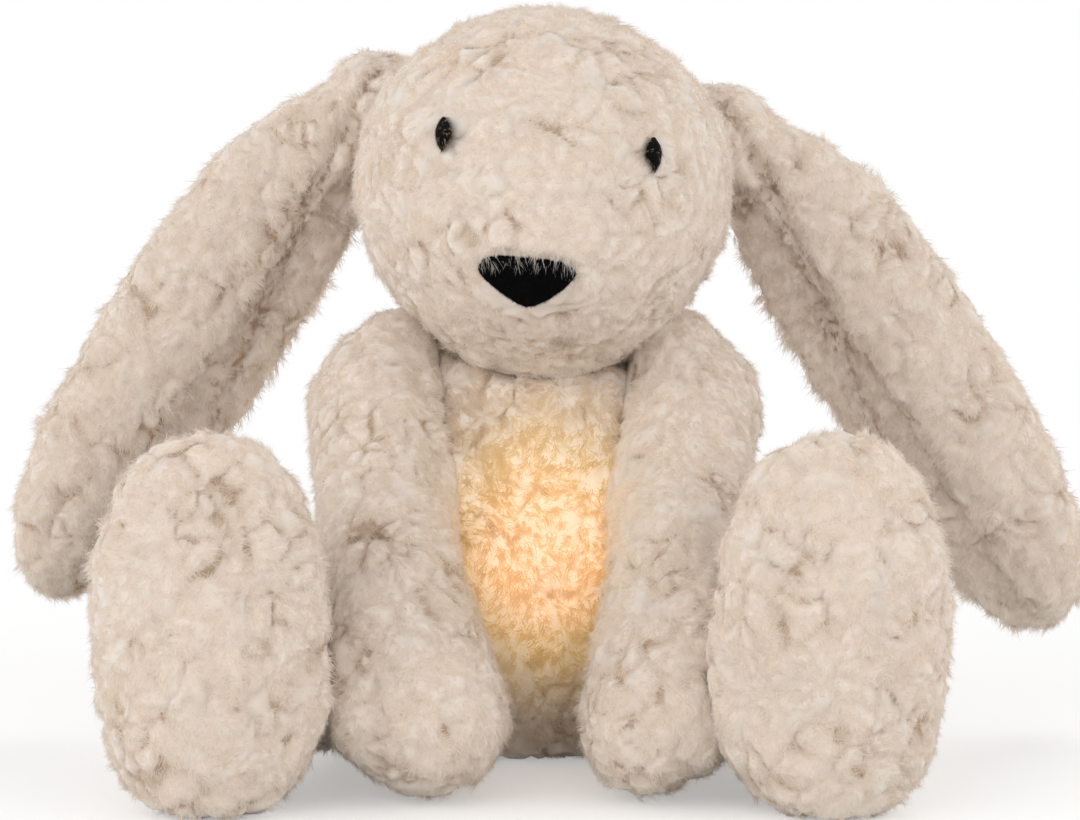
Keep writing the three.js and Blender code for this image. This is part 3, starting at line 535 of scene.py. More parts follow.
def pile_tree():
    """Geometry Nodes that plant locks on a skin: Poisson roots, a swirling lay and partings."""
    kinds = dict.fromkeys(("Spacing", "Cell", "Gather", "Swirl", "Stray", "Drift"), "Float")
    kinds |= {"Lay": "Vector", "Seed": "Int", "Locks": "Collection", "Finish": "Material"}
    g, given = new_tree("pile", kinds)

    def chance(kind, low, high, seed):
        """A random value at each root. The node has two inputs and an output for every kind."""
        order = chance_kinds.index(kind)
        values = {2 * order: low, 2 * order + 1: high, "Seed": given["Seed"] + seed}
        return g.node("FunctionNodeRandomValue", {"data_type": kind}, values, order)

    roots = {
        "Mesh": given["Skin"],
        "Distance Min": given["Spacing"] * closest_share,
        "Density Max": (given["Spacing"] * given["Spacing"]).math("POWER", -1),
        "Density Factor": named_field(g, "cover"),
        "Seed": given["Seed"],
    }
    scatter = g.node("GeometryNodeDistributePointsOnFaces", {"distribute_method": "POISSON"}, roots)
    place = g.node("GeometryNodeInputPosition")
    fine = given["Cell"].math("POWER", -1)
    nearness = g.node("ShaderNodeTexVoronoi", {}, {"Vector": place, "Scale": fine}, "Distance")
    to_centre = nearness.beside("Position").vector("SUBTRACT", place).scaled(given["Gather"] / given["Cell"])
    flow = drifting(g, place, fine * 0.5).scaled(given["Swirl"])
    heading = to_centre.vector("ADD", flow).vector("ADD", given["Lay"])
    align = "FunctionNodeAlignRotationToVector"
    upright = g.node(align, {"axis": "Z"}, {"Vector": scatter.beside("Normal")})
    lying = g.node(align, {"axis": "X", "pivot_axis": "Z"}, {"Rotation": upright, "Vector": heading})
    wobble = chance("FLOAT_VECTOR", wobble_low, wobble_high, 11).scaled(given["Stray"])
    turning = {"Rotation": lying, "Rotate By": g.node("FunctionNodeEulerToRotation", {}, {"Euler": wobble})}
    length = chance("FLOAT", 0.8, 1.12, 12) * named_field(g, "reach") * (1.12 - nearness * 0.4)
    # Painted shade: in patches, the strands rooted low in the fleece's creases are darkened, as the shade
    # between clumps.
    patches = ((g.noise(place, crease_patches) - 0.45) * 8.0).clamped()
    creased = (crease_height - named_field(g, "height")).clamped() * patches
    tone = tone_middle + (chance("FLOAT", 0.0, 1.0, 13) - 0.5) * tone_spread - creased * crease_painted_shade
    tone = tone + (nearness.beside("Color").part("X") - 0.5) * cell_tone
    tone = tone + (g.noise(place, broad_patches) - 0.5) * given["Drift"]
    # Painted shade: strands that stand less open to the light, in hollows, under things and between parts,
    # are darkened.
    tone = (tone - (1.0 - named_field(g, "open")) * hollow_painted_shade).clamped()
    family = {"Collection": given["Locks"], "Separate Children": True, "Reset Children": True}
    planting = {
        "Points": stored(g, scatter, "tone", tone),
        "Instance": g.node("GeometryNodeCollectionInfo", {"transform_space": "ORIGINAL"}, family),
        "Pick Instance": True,
        "Instance Index": chance("INT", 0, lock_kinds - 1, 14),
        "Rotation": g.node("FunctionNodeRotateRotation", {"rotation_space": "LOCAL"}, turning),
        "Scale": length,
    }
    planted = g.node("GeometryNodeInstanceOnPoints", {}, planting)
    real = g.node("GeometryNodeRealizeInstances", {}, {"Geometry": planted})
    resting = {"Geometry": real, "Position": place.vector("MAXIMUM", pile_lowest)}
    laid = g.node("GeometryNodeSetPosition", {}, resting)
    strand = named_field(g, "OFBake", "FLOAT_VECTOR")
    column = named_field(g, "tone") * 0.94 + 0.02 + strand.part("X") * 0.02
    mark = g.node("ShaderNodeCombineXYZ", {}, {"X": column, "Y": strand.part("Y") * 0.96 + 0.02})
    coloured = stored(g, laid, "OFBake", mark, "FLOAT2", "CORNER")
    finished = g.node("GeometryNodeSetMaterial", {}, {"Geometry": coloured, "Material": given["Finish"]})
    g.node("NodeGroupOutput", {}, {"Result": finished})
    return g.tree


def fleece_tree():
    """Geometry Nodes that press the skin into matted clumps: rounded cells on a twisted lay, with creases."""
    g, given = new_tree("fleece", dict.fromkeys(("Clump", "Twist", "Depth"), "Float"))
    place = g.node("GeometryNodeInputPosition")
    fine = given["Clump"].math("POWER", -1)
    twisted = place
    for scale, strength in ((0.45, 1.0), (1.1, 0.45)):
        twisted = twisted.vector("ADD", drifting(g, place, fine * scale).scaled(given["Twist"] * strength))
    edges = {"feature": "DISTANCE_TO_EDGE"}
    edge = g.node("ShaderNodeTexVoronoi", edges, {"Vector": twisted, "Scale": fine}, "Distance")
    small = g.node("ShaderNodeTexVoronoi", {}, {"Vector": twisted, "Scale": fine * 2.1}, "Distance")
    patches = ((g.noise(place, fine * 0.55) - 0.42) * 6.0).clamped()
    slope = (1.0 - (edge * 2.6).clamped()) * (patches * 0.4 + 0.6)
    height = 1.0 - slope * slope * 0.75 - small * small * 0.5
    rise = (height - 0.7) * given["Depth"] * named_field(g, "reach")
    raising = {"Geometry": given["Skin"], "Offset": g.node("GeometryNodeInputNormal").scaled(rise)}
    raised = g.node("GeometryNodeSetPosition", {}, raising)
    g.node("NodeGroupOutput", {}, {"Result": stored(g, raised, "height", height)})
    return g.tree


def grown_by(thing, tree, values):
    """The object's mesh after a tree of Geometry Nodes, with its named inputs set."""
    growth = modified(thing, "NODES", node_group=tree)
    for item in tree.interface.items_tree:
        if item.name in values:
            growth[item.identifier] = values[item.name]
    return settled(thing)


fleece_nodes = fleece_tree()
pile_nodes = pile_tree()
matted_fleece = {"Clump": 12 * MM, "Twist": 16 * MM, "Depth": 2.5 * MM}
matted_pile = {
    "Spacing": 2.35 * MM,
    "Cell": 11 * MM,
    "Gather": 0.6,
    "Swirl": 3.0,
    "Stray": 1.0,
    "Drift": 0.5,
    "Lay": (0, 0, -0.25),
    "Locks": matted_locks,
}


def pile(name, skin, share, finish, seed, **changes):
    """The pile that stands on one share of a skin, as a plain mesh."""
    base = piece_from(name, skin.data.copy())
    set_field(base, "cover", field_of(base, "cover") * share)
    return grown_by(base, pile_nodes, {**matted_pile, "Seed": seed, "Finish": finish, **changes})


glow_centre = Vector((3.5, -62, 77)) * MM
glow_reach = Vector((34, 46, 39)) * MM
glow_end = 1.6
glow_stops = [
    (0.0, (1.0, 0.58, 0.32)),
    (0.3, (0.84, 0.49, 0.24)),
    (0.55, (0.4, 0.26, 0.08)),
    (0.8, (0.09, 0.06, 0.01)),
    (1.0, (0, 0, 0)),
]
root_glow_stops = [(0.0, (1.0, 1.02, 0.7)), (1.0, (0.84, 0.84, 0.96))]
# Painted light: the module's warm glow is painted into the belly pile's base colour, strongest at its middle.
glow_tint_stops = [(0.0, (0.94, 0.82, 0.6)), (0.6, (0.92, 0.83, 0.62)), (1.0, (0.95, 0.91, 0.86))]
yarn_stops = [(0.0, srgb(212, 201, 190)), (0.45, srgb(236, 228, 219)), (1.0, srgb(246, 241, 235))]
# Painted shade: the brown low end of this ramp darkens the strands marked as in creases and hollows; the
# upper part spreads their random colour.
tone_and_shade_stops = [(0.0, (0.6, 0.5, 0.41)), (0.3, (0.88, 0.84, 0.8))]
tone_and_shade_stops += [(0.55, (0.97, 0.957, 0.943)), (1.0, (1, 1, 1))]
# Painted shade: the fleece is browner low in its creases, where shade falls, and paler on its tops.
fleece_shade_stops = [(0.1, srgb(186, 162, 138)), (0.35, srgb(221, 207, 193)), (0.9, srgb(234, 224, 214))]


def principled(graph, values):
    return graph.node("ShaderNodeBsdfPrincipled", {}, values)


def glow_light(graph, stops):
    """A colour by the distance from the middle of the module's light, as it comes through the plush."""
    spot = graph.spot().vector("SUBTRACT", glow_centre)
    return graph.ramp(stops, spot.vector("DIVIDE", glow_reach * glow_end).length())


def tinted(graph, colour, tint):
    settings = {"data_type": "RGBA", "blend_type": "MULTIPLY"}
    return graph.node("ShaderNodeMix", settings, {0: 1.0, 6: colour, 7: tint}, 2)


def plush_material(name, glow=0, glow_tint=False):
    """Pile yarn: its place across the map sets the lock's random colour and painted shade, and its place up
    the map runs root to tip.
    """
    material, graph = new_material(name)
    mark = graph.node("ShaderNodeUVMap", {"uv_map": "OFBake"})
    yarn = graph.ramp(yarn_stops, mark.part("Y"))
    colour = tinted(graph, yarn, graph.ramp(tone_and_shade_stops, mark.part("X")))
    # Painted light: the glow's warm tint is multiplied into the base colour.
    if glow_tint:
        colour = tinted(graph, colour, glow_light(graph, glow_tint_stops))
    values = {"Base Color": colour, "Roughness": 0.9}
    if glow:
        light = tinted(graph, glow_light(graph, glow_stops), graph.ramp(root_glow_stops, mark.part("Y")))
        values |= {"Emission Color": light, "Emission Strength": glow}
        material.cycles.emission_sampling = "NONE"
    through = graph.node("ShaderNodeBsdfTranslucent", {}, {"Color": colour})
    mixed = {0: 0.5, 1: principled(graph, values), 2: through}
    shader_output(graph, graph.node("ShaderNodeMixShader", {}, mixed))
    return material


def fleece_material(name, glow=0):
    """The matted ground of the pile, with painted shade: paler where it stands up and browner in its creases.
    """
    material, graph = new_material(name)
    height = graph.node("ShaderNodeAttribute", {"attribute_name": "height"}, {}, "Fac")
    values = {"Base Color": graph.ramp(fleece_shade_stops, height), "Roughness": 1.0, "Subsurface Weight": 1.0}
    values |= {"Subsurface Radius": (1.0, 0.9, 0.8), "Subsurface Scale": 2 * MM}
    if glow:
        values |= {"Emission Color": glow_light(graph, glow_stops), "Emission Strength": glow}
        material.cycles.emission_sampling = "NONE"
    shader_output(graph, principled(graph, values))
    return material


cream_yarn = plush_material("cream_pile")
cream_fleece = fleece_material("cream_fleece")


def edge_ends(thing):
    """The corners at the first and at the second end of each edge of a mesh."""
    ends = np.zeros(len(thing.data.edges) * 2, np.int32)
    thing.data.edges.foreach_get("vertices", ends)
    return ends.reshape(-1, 2).T


def evened(thing, values, rounds):
    """One number a corner, evened out over the mesh by the mean of each corner and those joined to it."""
    first, second = edge_ends(thing)
    count = 1 + np.bincount(first, minlength=len(values)) + np.bincount(second, minlength=len(values))
    for _ in range(rounds):
        total = values.copy()
        np.add.at(total, first, values[second])
        np.add.at(total, second, values[first])
        values = total / count
    return values


def widened(thing, values, rounds):
    """One number a corner, spread over the mesh as the largest of each corner and those joined to it."""
    first, second = edge_ends(thing)
    for _ in range(rounds):
        before = values
        values = before.copy()
        np.maximum.at(values, first, before[second])
        np.maximum.at(values, second, before[first])
    return values


press_reach = 12 * MM
press_share = 0.65
press_ease_share = 0.35
rim_swell = 3.5 * MM
seat_height = 9 * MM
floor_gap = 0.3 * MM


def pressed(thing, nodes, reach=press_reach):
    """Fills a skin out against the neighbours it leans on, with a swollen rim round where they touch."""
    others = solid_tree(nodes)
    swell = np.zeros(len(thing.data.vertices))
    for vertex in thing.data.vertices:
        far = others.ray_cast(vertex.co, vertex.normal, reach)[3]
        if far:
            swell[vertex.index] = far * press_share * min(1, (1 - far / reach) / press_ease_share)
    swell = np.maximum(swell, np.minimum(widened(thing, swell, 3), rim_swell))
    moved(thing, outward_of(thing), evened(thing, swell, 5))
    return thing


def trimmed(thing, near, reach):
    """Cuts the pile out where near is 1, and shortens it towards the share reach on the way there."""
    set_field(thing, "cover", field_of(thing, "cover") * (1 - np.clip(near * 3 - 2, 0, 1)))
    set_field(thing, "reach", field_of(thing, "reach") * (1 - np.clip(near * 1.5, 0, 1) * (1 - reach)))


def fields_for(skin, neighbours):
    """Writes where the pile grows on a skin, how long it is, and how open to the light it stands."""
    free = evened(skin, openness(skin, neighbours), 6)
    wide = evened(skin, free, 10)
    under = (outward_of(skin)[:, 2] < -0.6) & (corners_of(skin)[:, 2] < seat_height)
    set_field(skin, "cover", np.clip((wide - 0.05) / 0.15, 0, 1) * np.where(under, 0.3, 1))
    set_field(skin, "reach", 0.75 + 0.25 * np.clip((free - 0.2) / 0.6, 0, 1))
    set_field(skin, "open", free)


def faced(thing, finish):
    thing.data.materials.clear()
    thing.data.materials.append(finish)


def dressed(skin, ground):
    """A skin pressed into matted clumps, with its ground material."""
    modified(skin, "SUBSURF", levels=1, render_levels=1)
    skin = grown_by(skin, fleece_nodes, matted_fleece)
    places = corners_of(skin)
    places[:, 2] = np.maximum(places[:, 2], floor_gap)
    place_corners(skin, places)
    faced(skin, ground)
    return skin


def plush_skin(name, nodes, neighbours, voxel=2.9 * MM, rounds=5, reach=press_reach):
    """The skin of a stuffed piece: its sewn solids as one soft form that leans on its neighbours."""
    skin = pressed(stuffed_form(name, nodes, voxel, rounds, skin_sink), neighbours, reach)
    fields_for(skin, neighbours)
    return skin


def piles(stem, skin, shares, finish, seed, slot="cream_plush", **changes):
    """One pile piece for each share of a skin."""
    grown = []
    for number, (part, share) in enumerate(shares.items()):
        grown.append(pile(f"{stem}_pile_{part}", skin, share, finish, seed + number, **changes))
        grown[-1].visible_shadow = False
    return grown


def worn(skin, grown, nodes, body, blend=None):
    """A skin and its pile in place of CAD nodes, on one body, or, given a blend, fixed in place on no body.
    """
    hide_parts(*nodes)
    for thing in (skin, *grown):
        if blend:
            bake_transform(thing)
        else:
            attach(thing, body)


fibre, graph = new_material("stuffing_fibre")
wisps = graph.noise(graph.spot(), 350.0, 5.0, distortion=1.5)
fibre_values = {
    "Base Color": graph.ramp([(0.3, srgb(214, 212, 206)), (0.7, srgb(248, 247, 243))], wisps),
    "Roughness": 0.95,
    "Normal": graph.node("ShaderNodeBump", {}, {"Height": wisps, "Distance": 1.2 * MM, "Strength": 0.8}),
}
shader_output(graph, principled(graph, fibre_values))
stuffing_sink = 0.9 * MM
lump_depth = 1.2 * MM
lump_size = 14 * MM


def stuffing(name, node, body, voxel=3.5 * MM):
    """The fibre inside a piece: its filling made soft, with lumps pressed in and none out."""
    form = stuffed_form(name, [node], voxel, 4, stuffing_sink, whole=False)
    for vertex in form.data.vertices:
        lump = 0.5 + 0.5 * noise.noise(vertex.co / lump_size)
        vertex.co -= vertex.normal * lump * lump_depth
    faced(form, fibre)
    worn(form, [], [node], body)


def near_node(thing, node, margin, shift=0.0):
    """How near each corner lies to a node seen from the front: 1 on it, and 0 past the margin."""
    low, high = (np.array(corner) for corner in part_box(node))
    places = corners_of(thing) - (low + high) / 2 - np.array((0, 0, shift))
    half = (high - low) / 2
    far = np.hypot(places[:, 0] / (half[0] + margin), places[:, 2] / (half[2] + margin))
    inside = np.hypot(places[:, 0] / half[0], places[:, 2] / half[2])
    near = np.clip((1 - far) / np.maximum(inside - far, 1e-6), 0, 1)
    near[inside <= 1] = 1
    return np.where(np.abs(places[:, 1]) < half[1] + margin, near, 0)


head_nodes = ["head_cover_front", "head_cover_back"]
head_neighbours = ["ear_right", "ear_left", "belly_panel", "neck_filling"]
head_skin = plush_skin("head_skin", [*head_nodes, "head_filling"], head_neighbours)
for node in ("eye_right", "eye_left"):
    trimmed(head_skin, near_node(head_skin, node, 5 * MM, 1 * MM), 0.4)
trimmed(head_skin, near_node(head_skin, "nose", 2.5 * MM, -4 * MM), 0.6)
head_skin = dressed(head_skin, cream_fleece)
head_places = corners_of(head_skin)
in_face = head_places[:, 1] < -42 * MM
in_back = head_places[:, 1] > 0
upper = head_places[:, 2] > 205 * MM
head_shares = {
    "face_upper": in_face & upper,
    "face_lower": in_face & ~upper,
    "crown": ~in_face & ~in_back & upper,
    "cheeks": ~in_face & ~in_back & ~upper,
    "back": in_back,
}
worn(head_skin, piles("head", head_skin, head_shares, cream_yarn, 40), head_nodes, "head")
stuffing("head_stuffing", "head_filling", "head")
stuffing("neck_stuffing", "neck_filling", "neck")

# Eyes and nose
# Each eye is a leaf of black satin stitch sewn through the cover, with its point hanging
# down and out. The nose is a pad of black velvet, and the face's pile hangs over its edge.
satin_stitch = {"strands": 3, "wisps": 0, "length": 2.6 * MM, "half_width": 0.11 * MM, "spread": 0.4 * MM}
satin_stitch |= {"rise": math.radians(52), "lie": math.radians(-4), "stray": 0.08}
velvet_nap = {"strands": 6, "wisps": 6, "length": 1.5 * MM, "half_width": 0.05 * MM, "spread": 0.5 * MM}
velvet_nap |= {"rise": math.radians(75), "lie": math.radians(50), "stray": 0.35}
eye_outline_shares = [
    (0.0, -0.06, 0.06),
    (0.1, -0.36, 0.42),
    (0.25, -0.79, 0.8),
    (0.4, -0.95, 0.96),
    (0.5, -1, 1),
    (0.62, -0.9, 0.86),
    (0.71, -0.82, 0.5),
    (0.77, -0.72, 0.02),
    (0.89, -0.48, -0.06),
    (1.0, -0.22, -0.16),
]
eye_columns = 8
eye_rise = 0.9 * MM
eye_wall = 0.8 * MM
nose_taper_from = 6 * MM
nose_taper_share = 0.35
nose_columns = 12
fringe_middle = 1.0 * MM
fringe_half_height = 1.6 * MM


def thread_material(name, dark, light, fleck, roughness):
    """Black yarn with a few pale flecks, set by each strand's place across the map."""
    material, graph = new_material(name)
    tone = graph.node("ShaderNodeUVMap", {"uv_map": "OFBake"}).part("X")
    values = {"Roughness": roughness, "Specular IOR Level": 0.06}
    values["Base Color"] = graph.ramp([(0.3, dark), (0.76, light), (0.78, fleck)], tone)
    shader_output(graph, principled(graph, values))
    return material


satin_black = (0.003, 0.0027, 0.0026), (0.008, 0.007, 0.006), srgb(150, 132, 110)
velvet_black = (0.0015, 0.0015, 0.0018), (0.003, 0.0028, 0.003), (0.004, 0.004, 0.004)
satin = thread_material("black_satin", *satin_black, 0.7)
velvet = thread_material("black_velvet", *velvet_black, 0.9)


def sheet_depth(node):
    """The depth of a face node's middle, as a smooth sheet over its place across and up."""
    places = np.array([vertex.co for vertex in frame["nodes"][node].data.vertices])
    x, y, z = places.T
    terms = np.stack([np.ones(len(x)), x, z, x * x, z * z, x * z], axis=1)
    shares = np.linalg.lstsq(terms, y, rcond=None)[0]
    return lambda x, z: float(np.dot(shares, (1, x, z, x * x, z * z, x * z)))


def eye_leaf(name, node, sign):
    """The padded leaf under the stitches, on the face's own curve, with its point on the outer side."""
    low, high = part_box(node)
    middle, half_width, height = (low.x + high.x) / 2, (high.x - low.x) / 2, high.z - low.z
    depth = sheet_depth(node)
    places, faces = [], []
    for down, outer, inner in eye_outline_shares:
        for column in range(eye_columns + 1):
            across = column / eye_columns
            x = middle + sign * half_width * (outer + (inner - outer) * across)
            z = high.z - height * down
            swell = math.sqrt(max(0, 1 - (2 * across - 1) ** 2)) * math.sqrt(math.sin(math.pi * down))
            places.append((x, depth(x, z) - eye_wall / 2 - eye_rise * swell, z))
    wide = eye_columns + 1
    for row in range(len(eye_outline_shares) - 1):
        for column in range(eye_columns):
            corner = row * wide + column
            ring = (corner, corner + wide, corner + wide + 1, corner + 1)
            faces.append(ring if sign > 0 else ring[::-1])
    mesh = bpy.data.meshes.new(name)
    mesh.from_pydata(places, [], faces)
    mesh.shade_smooth()
    leaf = piece_from(name, mesh)
    modified(leaf, "SOLIDIFY", thickness=eye_wall * 2, offset=-1)
    modified(leaf, "SUBSURF", levels=1, render_levels=1)
    return settled(leaf)


def napped(base, finish, seed, node, **changes):
    """A base covered all over with short strands of its own yarn, in place of a CAD node."""
    for name, value in (("cover", 1), ("reach", 1), ("open", 1), ("height", 0.72)):
        set_field(base, name, np.full(len(base.data.vertices), value))
    places = corners_of(base)
    across = (places - places.min(axis=0)) / np.ptp(places, axis=0) * 0.5
    corners = [across[loop.vertex_index][axis] for loop in base.data.loops for axis in (0, 2)]
    base.data.uv_layers.new(name="OFBake").data.foreach_set("uv", corners)
    faced(base, finish)
    nap = pile(f"{base.name}_nap", base, 1, finish, seed, Gather=0.0, Drift=0.0, Cell=2 * MM, **changes)
    for thing in (base, nap):
        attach(thing, "head")
    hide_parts(node)


stitches = lock_family("satin_stitch", satin_stitch, 11)
naps = lock_family("velvet_nap", velvet_nap, 12)
for number, (side, sign) in enumerate((("right", 1), ("left", -1))):
    leaf = eye_leaf(f"eye_{side}_leaf", f"eye_{side}", sign)
    run = {"Locks": stitches, "Spacing": 0.62 * MM, "Swirl": 0.3, "Stray": 0.3, "Lay": (0.5 * sign, 0, -0.9)}
    napped(leaf, satin, 30 + number, f"eye_{side}", **run)
nose_low, nose_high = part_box("nose")
nose_pad = stuffed_form("nose_pad", ["nose"], 0.7 * MM, 4, -0.3 * MM)
nose_x, _, nose_z = corners_of(nose_pad).T
taper_top = nose_high.z - nose_taper_from
below = np.clip((taper_top - nose_z) / (taper_top - nose_low.z), 0, 1)
to_middle = (nose_low.x + nose_high.x) / 2 - nose_x
moved(nose_pad, np.array((1, 0, 0)), to_middle * below * nose_taper_share)
napped(nose_pad, velvet, 34, "nose", Locks=naps, Spacing=0.75 * MM, Swirl=1.0, Lay=(0, 0, -1))
column_reach = (nose_high.x - nose_low.x) / nose_columns
across_nose = np.linspace(nose_low.x, nose_high.x, nose_columns)
nose_tops = [nose_z[np.abs(nose_x - x) < column_reach].max() for x in across_nose]
head_x, _, head_z = head_places.T
above_nose = head_z - np.interp(head_x, across_nose, nose_tops)
over_nose = in_face & (head_x > nose_low.x) & (head_x < nose_high.x)
over_nose &= np.abs(above_nose - fringe_middle) < fringe_half_height
hanging = {"Locks": fringe_locks, "Spacing": 0.95 * MM, "Lay": (0, -2, -9), "Swirl": 4.0}
for fringe in piles("nose", head_skin, {"fringe": over_nose}, cream_yarn, 49, **hanging):
    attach(fringe, "head")

# Ears
# Each ear is one long plush tube folded lengthwise and sewn into the head's seam, so it
# hangs as two lobes with a deep crease between them. It is not stuffed hard.
joints = {joint["name"]: joint for joint in frame["joints"]}
ear_bend = 26 * MM
ear_front = 6 * MM
crease_route = [(0, 13), (12, -8), (22, -28), (36, -56), (53, -97), (66, -125)]
crease_depth = 5 * MM
crease_half_width = 2.2 * MM
crease_shade_share = 1.2
ear_crease_painted_shade = 3
inner_lobe_back = 2 * MM
inner_lobe_reach = 30 * MM
inner_lobe_shade = 0.22
ear_hang = (0.55, 0, -0.83)
ear_crown_rise = 7 * MM
ear_crown_from_root = 29 * MM
ear_crown_reach = 42 * MM


def hump(far, reach):
    """A smooth share by distance: 1 in the middle, and next to nothing past twice the reach."""
    return np.exp(-((far / reach) ** 2))


def creased(skin, root, sign):
    """Presses the fold between an ear's two lobes into its front, and returns how shaded that leaves it."""
    route = np.array([(root.x + sign * out * MM, root.z + up * MM) for out, up in crease_route])
    places = corners_of(skin)
    far = np.full(len(places), np.inf)
    inner = np.zeros(len(places))
    for start, end in zip(route[:-1], route[1:]):
        way = end - start
        aside = places[:, (0, 2)] - start
        share = np.clip(aside @ way / (way @ way), 0, 1)
        reach = np.hypot(*(aside - share[:, None] * way).T)
        inner = np.where(reach < far, sign * (aside[:, 0] * way[1] - aside[:, 1] * way[0]) > 0, inner)
        far = np.minimum(far, reach)
    facing = np.clip(-outward_of(skin)[:, 1] * 2 + 0.4, 0, 1)
    fold = hump(far, crease_half_width) * facing
    lobe = inner * hump(far, inner_lobe_reach) * facing
    moved(skin, np.array((0, 1, 0)), fold * crease_depth + evened(skin, lobe, 4) * inner_lobe_back)
    shade = hump(far, crease_half_width * crease_shade_share) * facing
    return np.maximum(shade, lobe * inner_lobe_shade)


def crowned(skin, root, sign):
    """Rounds the ear's upper edge outwards below its root, as the folded plush does when it hangs."""
    out, _, down = ear_hang
    outer = np.array((sign * -down, 0, out))
    below = (corners_of(skin) - np.array(root)) @ np.array(Vector((sign * out, 0, down)))
    upper = np.clip(outward_of(skin) @ outer + 0.2, 0, 1)
    swell = evened(skin, hump(below - ear_crown_from_root, ear_crown_reach) * upper, 4)
    moved(skin, outer, swell * ear_crown_rise)


for number, (side, sign) in enumerate((("right", -1), ("left", 1))):
    node = f"ear_{side}"
    neighbours = [*head_nodes, f"arm_cover_{side}", f"foot_cover_{side}"]
    root = Vector(joints[f"{node}_lift"]["pos_m"])
    skin = pressed(stuffed_form(f"{node}_skin", [node], 2.4 * MM, 4, skin_sink), neighbours)
    crowned(skin, root, sign)
    near = creased(skin, root, sign)
    fields_for(skin, [*neighbours, node])
    # Painted shade: the crease and the inner lobe behind it are marked less open, so their pile is darkened
    # as if in shade.
    set_field(skin, "open", field_of(skin, "open") - ear_crease_painted_shade * near)
    trimmed(skin, np.clip(near * 1.6 - 0.9, 0, 0.6), 0.55)
    skin = dressed(skin, cream_fleece)
    front = corners_of(skin)[:, 1] < ear_front
    shares = {"front": front, "back": ~front}
    grown = piles(node, skin, shares, cream_yarn, 60 + 10 * number, Lay=(0, 0, -0.9))
    outward = Vector((root.x, 0, -abs(root.x))).normalized()
    blend = {"from": "head", "start": root - outward * ear_bend / 2, "end": root + outward * ear_bend}
    worn(skin, grown, [node], node, blend)

# Torso
# A pear of plush, sewn from a belly panel, two back halves with the zip between them and a
# flat seat. The belly's pile has the module's light behind it and glows.
torso_nodes = ["belly_panel", "back_cover_right", "back_cover_left", "base_panel"]
torso_neighbours = [*head_nodes, "tail"]
torso_neighbours += [f"{limb}_cover_{side}" for limb in ("arm", "leg") for side in ("right", "left")]
inside_torso = ["torso_filling", "neck_filling", "zip_tape_right", "zip_tape_left", "zip_stop"]
slit_half_width = 5 * MM
slit_depth = 1.6 * MM
slit_front = 4 * MM
belly_back = -18 * MM
collar_height = 134 * MM
torso_sizes = {"voxel": 2.4 * MM, "rounds": 9, "reach": 20 * MM}
torso_skin = plush_skin("torso_skin", [*torso_nodes, *inside_torso], torso_neighbours, **torso_sizes)
tape_low, tape_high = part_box("zip_tape_right")
x, y, z = corners_of(torso_skin).T
along_slit = (z > tape_low.z) & (z < tape_high.z) & (y > tape_low.y - slit_front)
beside_slit = np.clip(2 - np.abs(x) / slit_half_width, 0, 1) * along_slit
moved(torso_skin, outward_of(torso_skin), np.where(beside_slit > 0.95, -slit_depth, 0.0))
trimmed(torso_skin, beside_slit, 0.3)
torso_skin = dressed(torso_skin, fleece_material("lit_fleece", glow=0.66))
x, y, z = corners_of(torso_skin).T
in_belly = y < belly_back
in_collar = in_belly & (z > collar_height)
lit_yarn = plush_material("lit_pile", glow=0.4, glow_tint=True)
torso_piles = []
belly_shares = (("front", in_belly & ~in_collar, 80, (0, 0, -0.6)), ("collar", in_collar, 84, (0, -0.4, 2.2)))
for part, share, seed, lay in belly_shares:
    torso_piles += piles("belly", torso_skin, {part: share}, lit_yarn, seed, slot="belly_plush", Lay=lay)
back_shares = {"right": ~in_belly & (x <= 0), "left": ~in_belly & (x > 0)}
torso_piles += piles("back", torso_skin, back_shares, cream_yarn, 90)
worn(torso_skin, torso_piles, torso_nodes, "torso")
stuffing("torso_stuffing", "torso_filling", "torso", voxel=2.5 * MM)

tail_skin = dressed(plush_skin("tail_skin", ["tail"], ["back_cover_right", "back_cover_left"]), cream_fleece)
worn(tail_skin, piles("tail", tail_skin, {"tuft": 1}, cream_yarn, 95), ["tail"], "torso")

